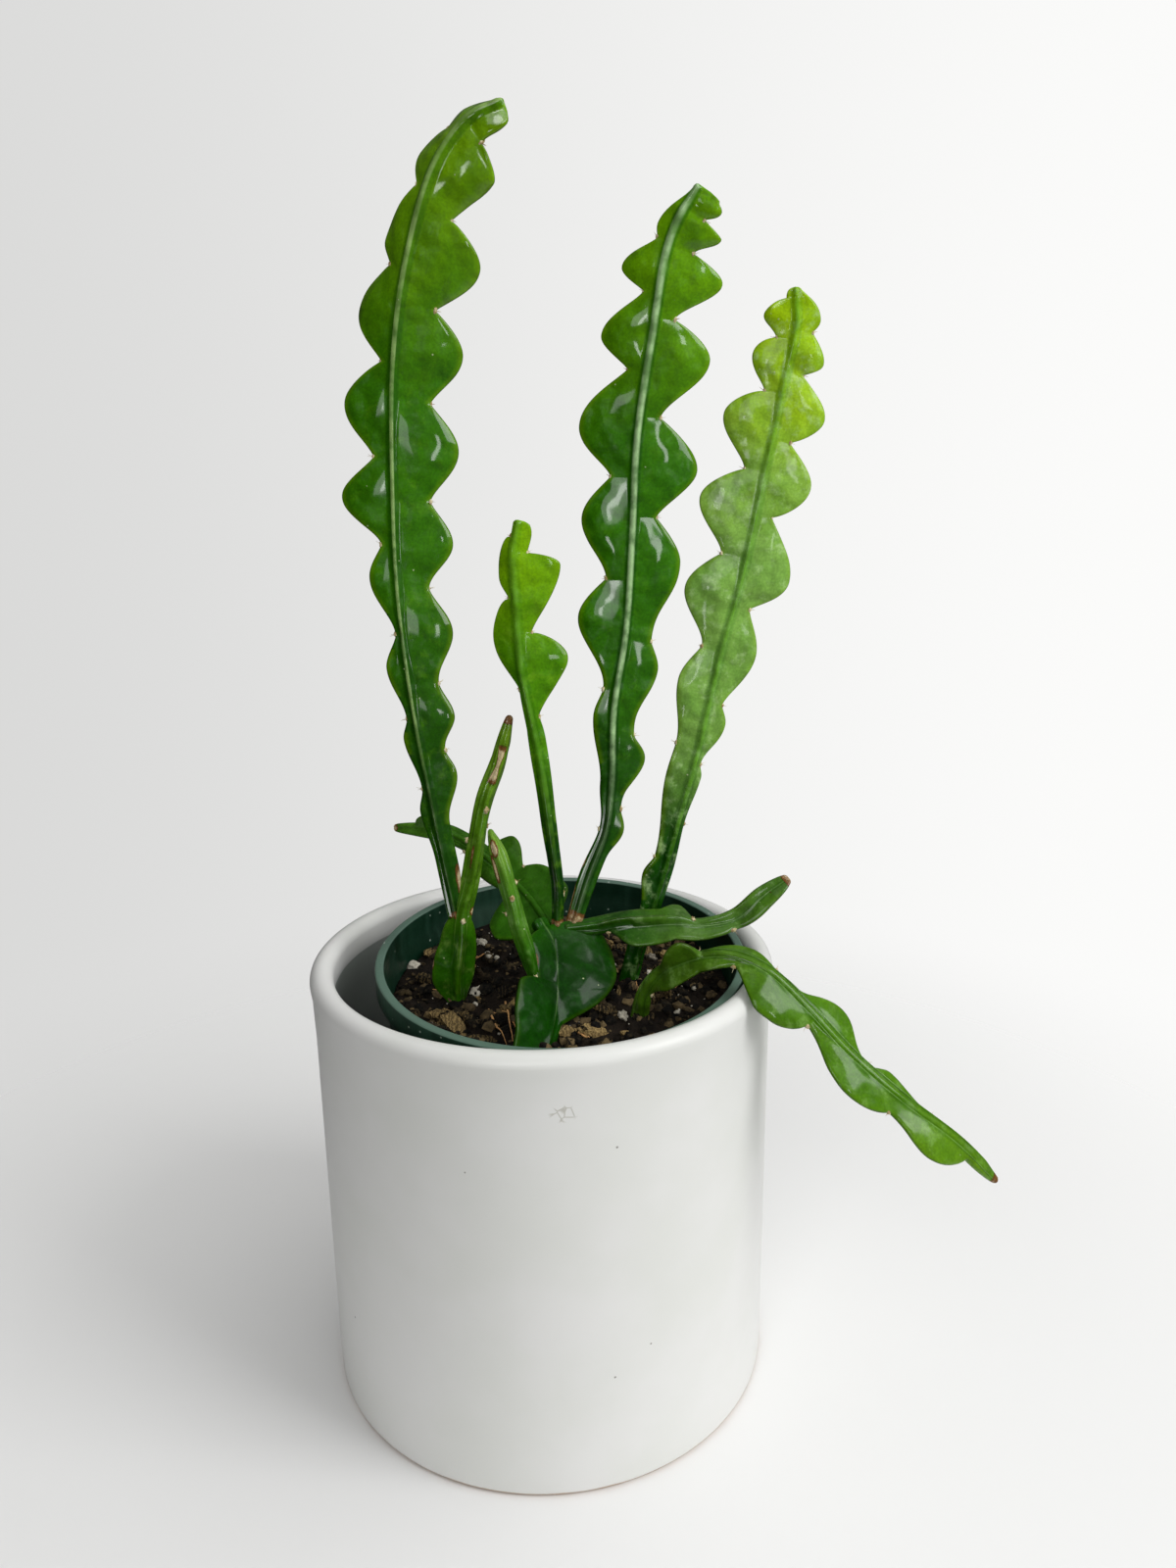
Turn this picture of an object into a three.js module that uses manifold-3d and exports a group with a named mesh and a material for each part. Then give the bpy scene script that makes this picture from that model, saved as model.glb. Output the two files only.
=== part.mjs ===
// A ric rac cactus growing in a plastic grow pot that stands, a little tilted, in a white cover pot.
// Millimetres, +Z up. The origin is the centre of the cover pot's foot, on the surface it stands on.
// -Y is the front, +X the right.
import * as THREE from 'three';
import { mergeVertices } from 'three/addons/utils/BufferGeometryUtils.js';
import Module from 'manifold-3d';

const wasm = await Module();
wasm.setup();

// Cover pot
const COVER_HEIGHT = 135.5;
const COVER_FOOT_RADIUS = 69;
const COVER_BODY_RADIUS = 69.5;
const COVER_LIP_RADIUS = 70;
const COVER_LIP_THICKNESS = 7;
const COVER_WALL = 5.2;
const COVER_FLOOR = 9;

// Grow pot, measured from the plane of its rim
const GROW_RIM_RADIUS = 56;
const GROW_RIM_HEIGHT = 7;
const GROW_RIM_WIDTH = 2.7;
const GROW_WALL = 1.4;
const GROW_TOP_RADIUS = 53.9;
const GROW_BASE_RADIUS = 42;
const GROW_DEPTH = 123.4;
const GROW_RIM_CENTRE = [5.6, -3.6, 135.5];
const GROW_TILT_DEG = 4.5;
const DRAIN_HOLES = 4;
const DRAIN_HOLE_RADIUS = 4.5;
const DRAIN_RING_RADIUS = 29;

// Soil
const SOIL_BELOW_RIM = 13;
const SOIL_ROUGHNESS = 1.1;
const BARK_CHIPS = 12;
const PERLITE_GRAINS = 12;

// Stems
const CLEARANCE = 0.3;
const ROOT_DEPTH = 12;
const EDGE_HALF = 0.55;
const FOOT_HALF = 0.95;
const FOOT_REACH = 2.6;
const FOOT_SHARE = 0.42;
const RIB_HEIGHT = 1.9;
const TIP_TAPER = 7;
const TIP_SHARE = 0.55;
const STATION_STEP = 3;
const POINTS_PER_WING = 5;
const ROUND_SIDES = 44;
const SOIL_SIDES = 32;

const COLOURS = {
  glaze: [0.93, 0.93, 0.91],
  plastic: [0.07, 0.21, 0.16],
  soil: [0.09, 0.065, 0.045],
  old: [0.1, 0.27, 0.05],
  mid: [0.14, 0.36, 0.04],
  pale: [0.26, 0.46, 0.12],
  young: [0.36, 0.55, 0.06],
};

// A path runs along the middle of a stem. A wing stands out from it at an angle, in degrees from
// the stem's right-hand side towards its face, given from base to tip. Its edge lists distance along
// the stem and reach from the middle: a bud's notch, a lobe's widest point, the next notch and so on.
const STEMS = {
  centre_stem: {
    path: [[0, -35, 120], [2, -28, 126], [3, -20, 133], [3, -12, 140.5], [4, -8, 145]],
    face: [0, -1, 1],
    rooted: true,
    colour: 'old',
    lower: [1.3],
    upper: [0.65],
    wings: [
      { angle: [-12], edge: [[0, 3], [7, 3.5], [24, 19.5], [30, 18], [37, 3]] },
      { angle: [130], edge: [[0, 12.5], [8, 15], [15, 14.5], [19, 8], [34, 10], [37, 3]] },
      { angle: [212], edge: [[0, 4], [12, 5], [24, 9], [31, 8], [37, 3]] },
    ],
  },
  old_left_stem: {
    path: [[-26, -9.5, 122], [-26, -9, 131.5], [-25, -7, 140], [-24, -5, 149], [-21, -3, 159.5],
      [-18.5, -1, 172], [-16, 1, 183], [-12, 3, 193], [-8, 4, 207]],
    face: [0, -1, 0.1],
    rooted: true,
    colour: 'old',
    lower: [1.3],
    upper: [0.7],
    wings: [
      { angle: [75, 60], edge: [[0, 3], [12, 5], [26, 3], [46, 3.6], [60, 2.8], [74, 3.2], [89, 1]] },
      {
        angle: [190, 185],
        edge: [
          [0, 3], [8, 7.5], [18, 6], [27, 3], [44, 3.2], [50, 3], [68, 3], [76, 2.6], [89, 1],
        ],
      },
      {
        angle: [325, 310],
        edge: [
          [0, 3], [11, 6.5], [19, 6], [26, 4], [40, 3.6], [55, 3], [66, 3.6], [80, 2.4], [89, 1],
        ],
      },
    ],
  },
  right_stem: {
    path: [[27, 0.5, 123], [30, 2, 134.5], [34.5, 4, 147], [38.5, 6, 159], [42.5, 8, 172.5], [48, 10, 191],
      [55, 12, 221], [62, 13, 247], [68.5, 14, 278], [73, 13, 301.5], [75.5, 12, 315], [74.5, 10, 324.5]],
    face: [0, -1, 0.1],
    rooted: true,
    colour: 'pale',
    cup: 0.8,
    wings: [
      {
        angle: [-40, -30, -10, 0, 0, 0],
        lower: [1.8, 2.2, 1.2, 0.7, 1.2],
        upper: [1.4, 1.1],
        edge: [
          [0, 3.5], [36, 3.5], [52, 2.6], [67, 3.6], [71, 2], [84, 7], [90, 4.5], [106, 11], [120, 5],
          [130, 14.5], [147, 5], [157, 14.5], [168.5, 5.5], [176, 14], [187, 5], [191, 10], [198, 5],
          [200.5, 7], [209, 1.5],
        ],
      },
      {
        angle: [180, 180, 185, 185, 185, 190],
        lower: [2.6, 2.2, 1.5, 1.3],
        upper: [1.4, 1.4, 0.9, 0.5],
        edge: [
          [0, 3.5], [22, 3.5], [34, 6], [40, 4], [67, 7.5], [76, 7], [95, 10.5], [106, 6], [122, 15.5],
          [134, 7.5], [149, 17], [159, 6], [173, 15], [181, 5], [190, 10.5], [195.5, 5], [203, 9],
          [207, 2.5], [209, 1.5],
        ],
      },
    ],
  },
  trailing_stem: {
    path: [[28, -20, 121], [29.5, -22, 129], [33.5, -24, 136], [42, -27, 141.5], [52, -31, 144],
      [62, -35, 141], [73, -39, 131], [84, -42, 119], [99, -45, 105.5], [116, -46, 91.5], [127.5, -46, 79]],
    face: [0, -0.7, 1],
    rooted: true,
    colour: 'mid',
    lower: [1.4],
    upper: [0.75],
    wings: [
      {
        angle: [0],
        lower: [1.3, 1.3, 2.2, 1.6],
        edge: [
          [0, 3], [10, 2.2], [20, 6.5], [30, 5], [41, 3.2], [54, 12], [58, 11.5], [68, 4], [88, 10.5],
          [100, 6.2], [116, 10.2], [128, 3.2], [141, 1.2],
        ],
      },
      { angle: [100, 90], edge: [[0, 2.5], [18, 2.5], [27, 8.5], [31, 2], [141, 1.2]] },
      {
        angle: [180],
        upper: [1, 1, 2, 1.5],
        edge: [
          [0, 3], [20, 2.5], [30, 2], [44, 4.6], [52, 2.2], [60, 2.6], [74, 8.5], [89, 1.5], [96, 4.6],
          [113, 1.6], [131, 2.4], [141, 1.2],
        ],
      },
    ],
  },
  back_stem: {
    path: [[2, -6, 144.5], [-4, 8, 148.5], [-12, 20, 153], [-21, 30, 157.5], [-31, 38, 161], [-41, 44, 161.5],
      [-49, 48, 161]],
    face: [0, -0.4, 1],
    colour: 'old',
    joins: ['centre_stem'],
    lower: [1.3],
    upper: [0.6],
    wings: [
      {
        angle: [25],
        edge: [
          [0, 3], [11, 12], [17, 12], [27, 6], [38, 11.5], [42, 4], [56, 4], [65, 2.5], [79, 1.5],
        ],
      },
      { angle: [105], edge: [[0, 2.5], [30, 2], [54, 2.5], [64, 7.5], [70, 2.5], [79, 1.5]] },
      {
        angle: [200],
        edge: [
          [0, 7], [9, 15.5], [14, 15], [22, 4], [36, 6], [48, 2.5], [64, 3.5], [79, 1.5],
        ],
      },
    ],
  },
  short_spear: {
    path: [[-2.5, -22.5, 135], [-4, -24, 143], [-6.5, -24, 151.5], [-8.5, -22, 160], [-10.5, -20, 168],
      [-14, -16, 178]],
    face: [0, -1, 0.1],
    colour: 'mid',
    joins: ['centre_stem', 'back_stem'],
    lower: [1.2],
    upper: [0.8],
    wings: [
      { angle: [80], edge: [[0, 1.6], [14, 3], [26, 2.4], [38, 2.8], [46, 0.8]] },
      { angle: [190], edge: [[0, 1.6], [10, 3], [22, 2.6], [34, 3.2], [46, 0.8]] },
      { angle: [320], edge: [[0, 1.6], [18, 3.4], [30, 2.8], [38, 3], [46, 0.8]] },
    ],
  },
  leaning_stem: {
    path: [[7, -7, 144], [15.5, -7, 144], [23, -8, 145], [31, -9, 145.5], [39, -9, 145.5], [49, -8, 144],
      [59, -6, 145], [67, -4, 151], [75, -2, 156]],
    face: [0, -0.7, 1],
    colour: 'mid',
    joins: ['centre_stem', 'back_stem'],
    lower: [1.3],
    upper: [0.65],
    wings: [
      {
        angle: [-10, 20],
        edge: [
          [0, 2.5], [13, 2], [22, 7.5], [32, 6], [50, 3.5], [61, 5], [72, 2.2],
        ],
      },
      { angle: [80, 130], edge: [[0, 2.5], [20, 4.5], [38, 2.6], [55, 4.5], [72, 2.2]] },
      { angle: [180, 220], edge: [[0, 3], [29, 6.5], [35, 9.5], [39, 4], [52, 6], [60, 4], [72, 2.2]] },
    ],
  },
  middle_stem: {
    path: [[9, -6, 144], [14.5, -2, 159], [20, 1, 173], [22, 4, 186], [23, 7, 207.5], [27, 10, 231],
      [29, 11, 258], [30.5, 11, 285], [34.5, 8, 312], [39, 4, 336], [45.5, 0, 348]],
    face: [0, -1, 0.1],
    colour: 'mid',
    cup: 1,
    joins: ['centre_stem', 'back_stem', 'leaning_stem'],
    lower: [2.8, 2.2, 1.7, 1.3, 1.1],
    upper: [1.5, 1.4, 1.1, 0.9, 0.8],
    wings: [
      {
        angle: [0, -5, -5, -5, -5, 0],
        lower: [2.8, 2.8, 2.6, 1.4, 1.6, 1.2],
        edge: [
          [0, 2.5], [22, 3], [32, 5.5], [38, 3.5], [53, 10], [60, 6.5], [81, 11.5], [89, 8], [111, 15],
          [124, 7], [138, 18.5], [152, 6], [169, 17.5], [178, 5.5], [189, 17], [196, 7], [204, 12.5],
          [206, 6], [209.5, 9], [211, 7],
        ],
      },
      {
        angle: [180, 185, 185, 188, 195, 215],
        upper: [1.5, 1.6, 1, 1.1, 1.4],
        edge: [
          [0, 2.5], [15, 3], [31, 2], [45, 3.5], [65, 6], [73, 4], [94, 14.5], [106, 7], [123, 15],
          [135, 7], [147.5, 17], [163.5, 5.5], [171, 14.5], [184, 4.5], [189, 12], [197, 4],
          [200, 5.5], [211, 1],
        ],
      },
    ],
  },
  young_middle_stem: {
    path: [[4.5, -7, 145], [5, -6, 157], [3.5, -4, 170], [1.5, -2, 187.5], [-1, 0, 203.5], [-4, 1, 220.5],
      [-5, 2, 238.5], [-5.5, 2, 254], [-4, 1, 263]],
    face: [0, -1, 0.1],
    colour: 'young',
    joins: ['centre_stem', 'back_stem', 'leaning_stem', 'middle_stem'],
    lower: [1.3],
    upper: [0.8, 0.8, 0.35],
    wings: [
      {
        angle: [-30, -30, -10, -5],
        edge: [
          [0, 2], [10, 1.8], [33, 2.5], [56, 3.3], [63, 2.5], [80, 14], [88, 4], [107, 13.5], [111, 4],
          [116, 4.5], [120, 1.5],
        ],
      },
      {
        angle: [210, 210, 205, 215],
        edge: [
          [0, 1.8], [22, 2.2], [34, 2.6], [48, 2.6], [60, 2], [72, 1.6], [87, 8], [98, 2.2], [104, 5],
          [115, 1.4], [120, 1.4],
        ],
      },
    ],
  },
  tall_left_stem: {
    path: [[-25.5, -5, 148], [-30.5, -1, 176], [-36, 3, 211], [-39, 7, 243], [-39, 9, 273], [-37, 9, 305],
      [-31.5, 6, 331], [-23, 1, 352], [-14, -3, 362], [-5, -6, 366]],
    face: [0, -1, 0.1],
    colour: 'mid',
    cup: 1,
    joins: ['old_left_stem'],
    lower: [2.4, 2.2, 1.8, 1.3, 1, 0.9],
    upper: [1.8, 1.6, 1.3, 0.9, 0.5],
    wings: [
      {
        angle: [0, -5, -5, -8, -5, 0],
        edge: [
          [0, 2.5], [15, 4], [28, 4], [43, 9], [50, 7], [60, 11.5], [70, 8.5], [85, 14.5], [98, 9],
          [111, 16.5], [123, 10.5], [137, 18.5], [150, 10.5], [164, 18.5], [175.5, 9.5], [189, 19],
          [199.5, 8.5], [217, 14.5], [223.5, 6], [229, 6], [233, 5],
        ],
      },
      {
        angle: [180, 185, 185, 188, 215, 240],
        edge: [
          [0, 2.5], [18, 2.5], [33, 4], [40, 2], [55, 4.5], [61, 2.5], [76, 6], [85.5, 2], [102, 8],
          [111, 4], [124, 15], [135, 5.5], [149, 14], [160, 4], [172, 13.5], [184, 6], [189, 10],
          [204, 4.5], [210, 10], [218, 7], [224, 9], [233, 1.5],
        ],
      },
    ],
  },
};

// Small helpers
function seededRandom(seed) {
  let state = seed;
  return () => {
    state = (state * 16807) % 2147483647;
    return state / 2147483647;
  };
}

function material(name, roughness) {
  return new THREE.MeshStandardMaterial({
    color: new THREE.Color(...COLOURS[name]),
    roughness,
    metalness: 0,
  });
}

function toManifold(geometry) {
  const plain = geometry.clone();
  plain.deleteAttribute('normal');
  plain.deleteAttribute('uv');
  const merged = mergeVertices(plain, 1e-4);
  return new wasm.Manifold(new wasm.Mesh({
    numProp: 3,
    vertProperties: new Float32Array(merged.attributes.position.array),
    triVerts: new Uint32Array(merged.index.array),
  }));
}

function toGeometry(solid) {
  const mesh = solid.getMesh();
  const geometry = new THREE.BufferGeometry();
  geometry.setAttribute('position', new THREE.BufferAttribute(mesh.vertProperties, 3));
  geometry.setIndex(new THREE.BufferAttribute(mesh.triVerts, 1));
  geometry.computeVertexNormals();
  return geometry;
}

function largestPiece(solid) {
  return solid.decompose().reduce((a, b) => (a.volume() > b.volume() ? a : b));
}

function latheAboutZ(profile, sides) {
  const points = profile.map(([radius, height]) => new THREE.Vector2(radius, height));
  const geometry = new THREE.LatheGeometry(points, sides);
  geometry.rotateX(Math.PI / 2);
  return geometry;
}

function arcPoints(centreRadius, centreHeight, radius, fromDeg, toDeg, steps) {
  return Array.from({ length: steps + 1 }, (_, i) => {
    const angle = THREE.MathUtils.degToRad(fromDeg + ((toDeg - fromDeg) * i) / steps);
    return [centreRadius + radius * Math.cos(angle), centreHeight + radius * Math.sin(angle)];
  });
}

// Cover pot: a plain cylinder with a rolled lip, a little undercut inside below it
function coverPot() {
  const roll = COVER_LIP_THICKNESS / 2;
  const lipMiddle = COVER_LIP_RADIUS - roll;
  const lipLevel = COVER_HEIGHT - roll;
  const inner = COVER_BODY_RADIUS - COVER_WALL;
  const footRound = 1.8;
  const floorRound = 7;
  const floorRadius = inner - 1.5;
  return latheAboutZ([
    [0, 0],
    ...arcPoints(COVER_FOOT_RADIUS - footRound, footRound, footRound, -90, 0, 2),
    [COVER_BODY_RADIUS, lipLevel - 4],
    ...arcPoints(lipMiddle, lipLevel, roll, 0, 180, 6),
    [lipMiddle - roll + 0.1, lipLevel - 5],
    [inner, lipLevel - 9],
    ...arcPoints(floorRadius - floorRound, COVER_FLOOR + floorRound, floorRound, 0, -90, 2),
    [0, COVER_FLOOR],
  ], ROUND_SIDES);
}

// Grow pot: thin tapered wall, a flat rolled rim and drain holes in the base
function growWallRadius(depth) {
  const taper = (GROW_TOP_RADIUS - GROW_BASE_RADIUS) / (GROW_DEPTH - GROW_RIM_HEIGHT);
  return GROW_TOP_RADIUS - taper * (depth - GROW_RIM_HEIGHT);
}

function growPot() {
  const innerRim = GROW_RIM_RADIUS - GROW_RIM_WIDTH;
  const round = 0.6;
  const floor = GROW_WALL - GROW_DEPTH;
  const shell = toManifold(latheAboutZ([
    [0, -GROW_DEPTH],
    [GROW_BASE_RADIUS - 2, -GROW_DEPTH],
    [GROW_BASE_RADIUS, 2 - GROW_DEPTH],
    [GROW_TOP_RADIUS, -GROW_RIM_HEIGHT],
    [GROW_RIM_RADIUS, -GROW_RIM_HEIGHT],
    [GROW_RIM_RADIUS, -round],
    [GROW_RIM_RADIUS - round, 0],
    [innerRim + round, 0],
    [innerRim, -round],
    [GROW_TOP_RADIUS - GROW_WALL, -GROW_RIM_HEIGHT - 2],
    [GROW_BASE_RADIUS - GROW_WALL, floor + 1],
    [GROW_BASE_RADIUS - GROW_WALL - 1, floor],
    [0, floor],
  ], ROUND_SIDES));
  const hole = new THREE.CylinderGeometry(DRAIN_HOLE_RADIUS, DRAIN_HOLE_RADIUS, 3 * GROW_WALL, 10);
  hole.rotateX(Math.PI / 2);
  let pot = shell;
  for (let i = 0; i < DRAIN_HOLES; i += 1) {
    const turn = (2 * Math.PI * i) / DRAIN_HOLES;
    const place = [DRAIN_RING_RADIUS * Math.cos(turn), DRAIN_RING_RADIUS * Math.sin(turn)];
    pot = pot.subtract(toManifold(hole.clone().translate(...place, floor - GROW_WALL / 2)));
  }
  return toGeometry(pot);
}

function growPotPlace() {
  const place = new THREE.Group();
  place.position.set(...GROW_RIM_CENTRE);
  place.rotation.x = THREE.MathUtils.degToRad(GROW_TILT_DEG);
  place.updateMatrixWorld();
  return place;
}

// Stems
function valueAt(list, share) {
  if (list.length === 1) return list[0];
  const place = THREE.MathUtils.clamp(share, 0, 1) * (list.length - 1);
  const index = Math.min(Math.floor(place), list.length - 2);
  const blend = THREE.MathUtils.smoothstep(place - index, 0, 1);
  return THREE.MathUtils.lerp(list[index], list[index + 1], blend);
}

// The lower and the upper side of a lobe each swell from a notch: a power under 1 makes a full
// shoulder, and a power over 1 a hollow flare
function edgeReach(stem, wing, s, share) {
  const { edge } = wing;
  const last = edge[edge.length - 1];
  if (s <= edge[0][0]) return edge[0][1];
  if (s >= last[0]) return last[1];
  const index = edge.findIndex(([mark]) => mark > s) - 1;
  const [s0, w0] = edge[index];
  const [s1, w1] = edge[index + 1];
  const t = (s - s0) / (s1 - s0);
  const side = w1 > w0 ? 'lower' : 'upper';
  const fromNotch = w1 > w0 ? t : 1 - t;
  const power = valueAt(wing[side] || stem[side], share);
  return Math.min(w0, w1) + Math.abs(w1 - w0) * Math.sin((Math.PI / 2) * fromNotch) ** power;
}

function stemCurve(stem) {
  const points = stem.path.map((p) => new THREE.Vector3(...p));
  if (stem.rooted) {
    const down = points[0].clone().sub(points[1]).setLength(ROOT_DEPTH);
    points.unshift(points[0].clone().add(down));
  }
  const curve = new THREE.CatmullRomCurve3(points, false, 'centripetal');
  curve.arcLengthDivisions = 1000;
  const root = stem.rooted ? ROOT_DEPTH : 0;
  return { curve, root, length: curve.getLength() - root };
}

function stationMarks(stem, root, length, grow) {
  const firm = stem.wings.flatMap(({ edge }) => edge.map(([mark]) => Math.min(mark, length)));
  const marks = [-root - grow, length + grow];
  const addIfClear = (mark, gap) => {
    if (marks.every((other) => Math.abs(other - mark) >= gap)) marks.push(mark);
  };
  firm.forEach((mark) => addIfClear(mark, 1));
  stem.wings.forEach(({ edge }) => {
    edge.slice(1).forEach(([s1, w1], i) => {
      const [s0, w0] = edge[i];
      const shares = w1 > w0 ? [0.3, 0.6, 0.8] : [0.4, 0.7, 0.9];
      const gap = w1 > w0 ? STATION_STEP : STATION_STEP / 2;
      shares.forEach((share) => addIfClear(Math.min(s0 + (s1 - s0) * share, length), gap));
    });
  });
  for (let mark = -root; mark < length; mark += STATION_STEP) addIfClear(mark, 2 * STATION_STEP);
  return marks.sort((a, b) => a - b);
}

function sectionAt(stem, spine, s, grow) {
  const { curve, root, length } = spine;
  const inside = THREE.MathUtils.clamp(s, -root, length);
  const share = (inside + root) / (length + root);
  const along = curve.getTangentAt(share);
  const middle = curve.getPointAt(share).addScaledVector(along, s - inside);
  const face = new THREE.Vector3(...stem.face);
  face.addScaledVector(along, -face.dot(along)).normalize();
  const side = new THREE.Vector3().crossVectors(along, face);
  const fromTip = THREE.MathUtils.clamp((length - s) / TIP_TAPER, 0, 1);
  const taper = THREE.MathUtils.lerp(TIP_SHARE, 1, fromTip);
  const at = (angle, out, across) => {
    const a = THREE.MathUtils.degToRad(angle);
    return middle.clone()
      .addScaledVector(side, out * Math.cos(a) - across * Math.sin(a))
      .addScaledVector(face, out * Math.sin(a) + across * Math.cos(a));
  };
  const wings = stem.wings.map((wing) => ({
    angle: valueAt(wing.angle, s / length),
    reach: edgeReach(stem, wing, s, s / length),
  }));
  const points = wings.flatMap((wing, i) => {
    const next = wings[(i + 1) % wings.length];
    const nextAngle = next.angle + (i + 1 === wings.length ? 360 : 0);
    const previous = wings[(i + wings.length - 1) % wings.length];
    const previousAngle = previous.angle - (i === 0 ? 360 : 0);
    const foot = Math.min(FOOT_REACH, 0.55 * wing.reach) + grow;
    const footHalf = FOOT_HALF * taper + grow;
    const footOut = Math.hypot(foot, footHalf);
    const footTurn = THREE.MathUtils.radToDeg(Math.atan2(footHalf, foot));
    const turnBefore = Math.min(footTurn, FOOT_SHARE * (wing.angle - previousAngle));
    const turnAfter = Math.min(footTurn, FOOT_SHARE * (nextAngle - wing.angle));
    const edgeHalf = EDGE_HALF * taper + grow;
    const bend = (stem.cup || 0) * (wing.reach / 16) ** 2;
    const edgePoint = (across) => at(wing.angle, wing.reach + grow, across).addScaledVector(face, -bend);
    return [
      at(wing.angle - turnBefore, footOut, 0),
      edgePoint(-edgeHalf),
      edgePoint(edgeHalf),
      at(wing.angle + turnAfter, footOut, 0),
      at((wing.angle + nextAngle) / 2, RIB_HEIGHT * taper + grow, 0),
    ];
  });
  return { middle, points };
}

function stemSolid(stem, grow) {
  const spine = stemCurve(stem);
  const marks = stationMarks(stem, spine.root, spine.length, grow);
  const sections = marks.map((s) => sectionAt(stem, spine, s, grow));
  const around = sections[0].points.length;
  const positions = sections.flatMap(({ points }) => points.flatMap((p) => p.toArray()));
  const index = [];
  // Both faces of a wing are split along the same diagonal
  const outwards = (j) => j % POINTS_PER_WING === 0 || j % POINTS_PER_WING === POINTS_PER_WING - 1;
  for (let i = 0; i + 1 < sections.length; i += 1) {
    for (let j = 0; j < around; j += 1) {
      const k = (j + 1) % around;
      const [a, b, c, d] = [i * around + j, i * around + k, (i + 1) * around + k, (i + 1) * around + j];
      if (outwards(j)) index.push(a, d, b, b, d, c);
      else index.push(a, c, b, a, d, c);
    }
  }
  const first = positions.length / 3;
  positions.push(...sections[0].middle.toArray(), ...sections[sections.length - 1].middle.toArray());
  const lastRing = (sections.length - 1) * around;
  for (let j = 0; j < around; j += 1) {
    const k = (j + 1) % around;
    index.push(first, j, k);
    index.push(first + 1, lastRing + k, lastRing + j);
  }
  const geometry = new THREE.BufferGeometry();
  geometry.setAttribute('position', new THREE.Float32BufferAttribute(positions, 3));
  geometry.setIndex(index);
  return toManifold(geometry);
}

// A stem that grows from another ends against its surface
function jointedStem(stem) {
  const joins = stem.joins || [];
  const solid = joins.reduce((left, name) => left.subtract(stemSolid(STEMS[name], CLEARANCE)), stemSolid(stem, 0));
  return joins.length ? largestPiece(solid) : solid;
}

// Soil: a plug of the grow pot's inside with a rough top, chips and grains set in it
function soilBody() {
  const top = -SOIL_BELOW_RIM;
  const bottom = GROW_WALL + CLEARANCE - GROW_DEPTH;
  const inside = (depth) => growWallRadius(depth) - GROW_WALL - CLEARANCE - 0.1;
  const rim = inside(SOIL_BELOW_RIM);
  const rings = [8, 16, 24, 32, 40, 47];
  const geometry = latheAboutZ([
    [0, bottom],
    [inside(GROW_DEPTH) - 1.5, bottom],
    [rim, top - 1],
    ...rings.reverse().map((radius) => [radius, top]),
    [0, top],
  ], SOIL_SIDES);
  const position = geometry.attributes.position;
  for (let i = 0; i < position.count; i += 1) {
    const [x, y, z] = [position.getX(i), position.getY(i), position.getZ(i)];
    if (z > top - 0.5) {
      const waves = Math.sin(0.31 * x + 1.1) * Math.cos(0.27 * y) + 0.6 * Math.sin(0.63 * y + 0.41 * x);
      position.setZ(i, z + SOIL_ROUGHNESS * waves);
    }
  }
  return geometry;
}

function soilBits(random) {
  const bits = [];
  const spot = (reach) => {
    const radius = reach * Math.sqrt(random());
    const turn = 2 * Math.PI * random();
    return [radius * Math.cos(turn), radius * Math.sin(turn), -SOIL_BELOW_RIM];
  };
  for (let i = 0; i < BARK_CHIPS; i += 1) {
    const chip = new THREE.BoxGeometry(5 + 6 * random(), 2.5 + 2 * random(), 2.2);
    chip.rotateX(0.5 * (random() - 0.5));
    chip.rotateY(0.6 * (random() - 0.5));
    chip.rotateZ(Math.PI * random());
    bits.push(chip.translate(...spot(44)));
  }
  for (let i = 0; i < PERLITE_GRAINS; i += 1) {
    const grain = new THREE.IcosahedronGeometry(1.3 + 0.9 * random(), 0);
    bits.push(grain.translate(...spot(47)));
  }
  return bits;
}

function soilGeometry(place) {
  const rooted = Object.values(STEMS).filter((stem) => stem.rooted);
  const random = seededRandom(41);
  const plug = soilBits(random).reduce((solid, bit) => solid.add(toManifold(bit)), toManifold(soilBody()));
  const set = toManifold(toGeometry(plug).applyMatrix4(place.matrixWorld));
  const holed = rooted.reduce((solid, stem) => solid.subtract(stemSolid(stem, CLEARANCE)), set);
  return toGeometry(largestPiece(holed));
}

function namedMesh(name, geometry, surface) {
  const mesh = new THREE.Mesh(geometry, surface);
  mesh.name = name;
  return mesh;
}

function buildPlant() {
  const plant = new THREE.Group();
  Object.entries(STEMS).forEach(([name, stem]) => {
    plant.add(namedMesh(name, toGeometry(jointedStem(stem)), material(stem.colour, 0.35)));
  });
  return plant;
}

const cactusInPot = new THREE.Group();
const growPlace = growPotPlace();
growPlace.add(namedMesh('nursery_pot', growPot(), material('plastic', 0.45)));
cactusInPot.add(namedMesh('outer_pot', coverPot(), material('glaze', 0.3)));
cactusInPot.add(growPlace);
cactusInPot.add(namedMesh('soil', soilGeometry(growPlace), material('soil', 0.95)));
cactusInPot.add(buildPlant());

export default cactusInPot;
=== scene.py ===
import bisect
import math
import random

import bmesh
import bpy
from mathutils import Matrix, Vector, noise


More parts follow.
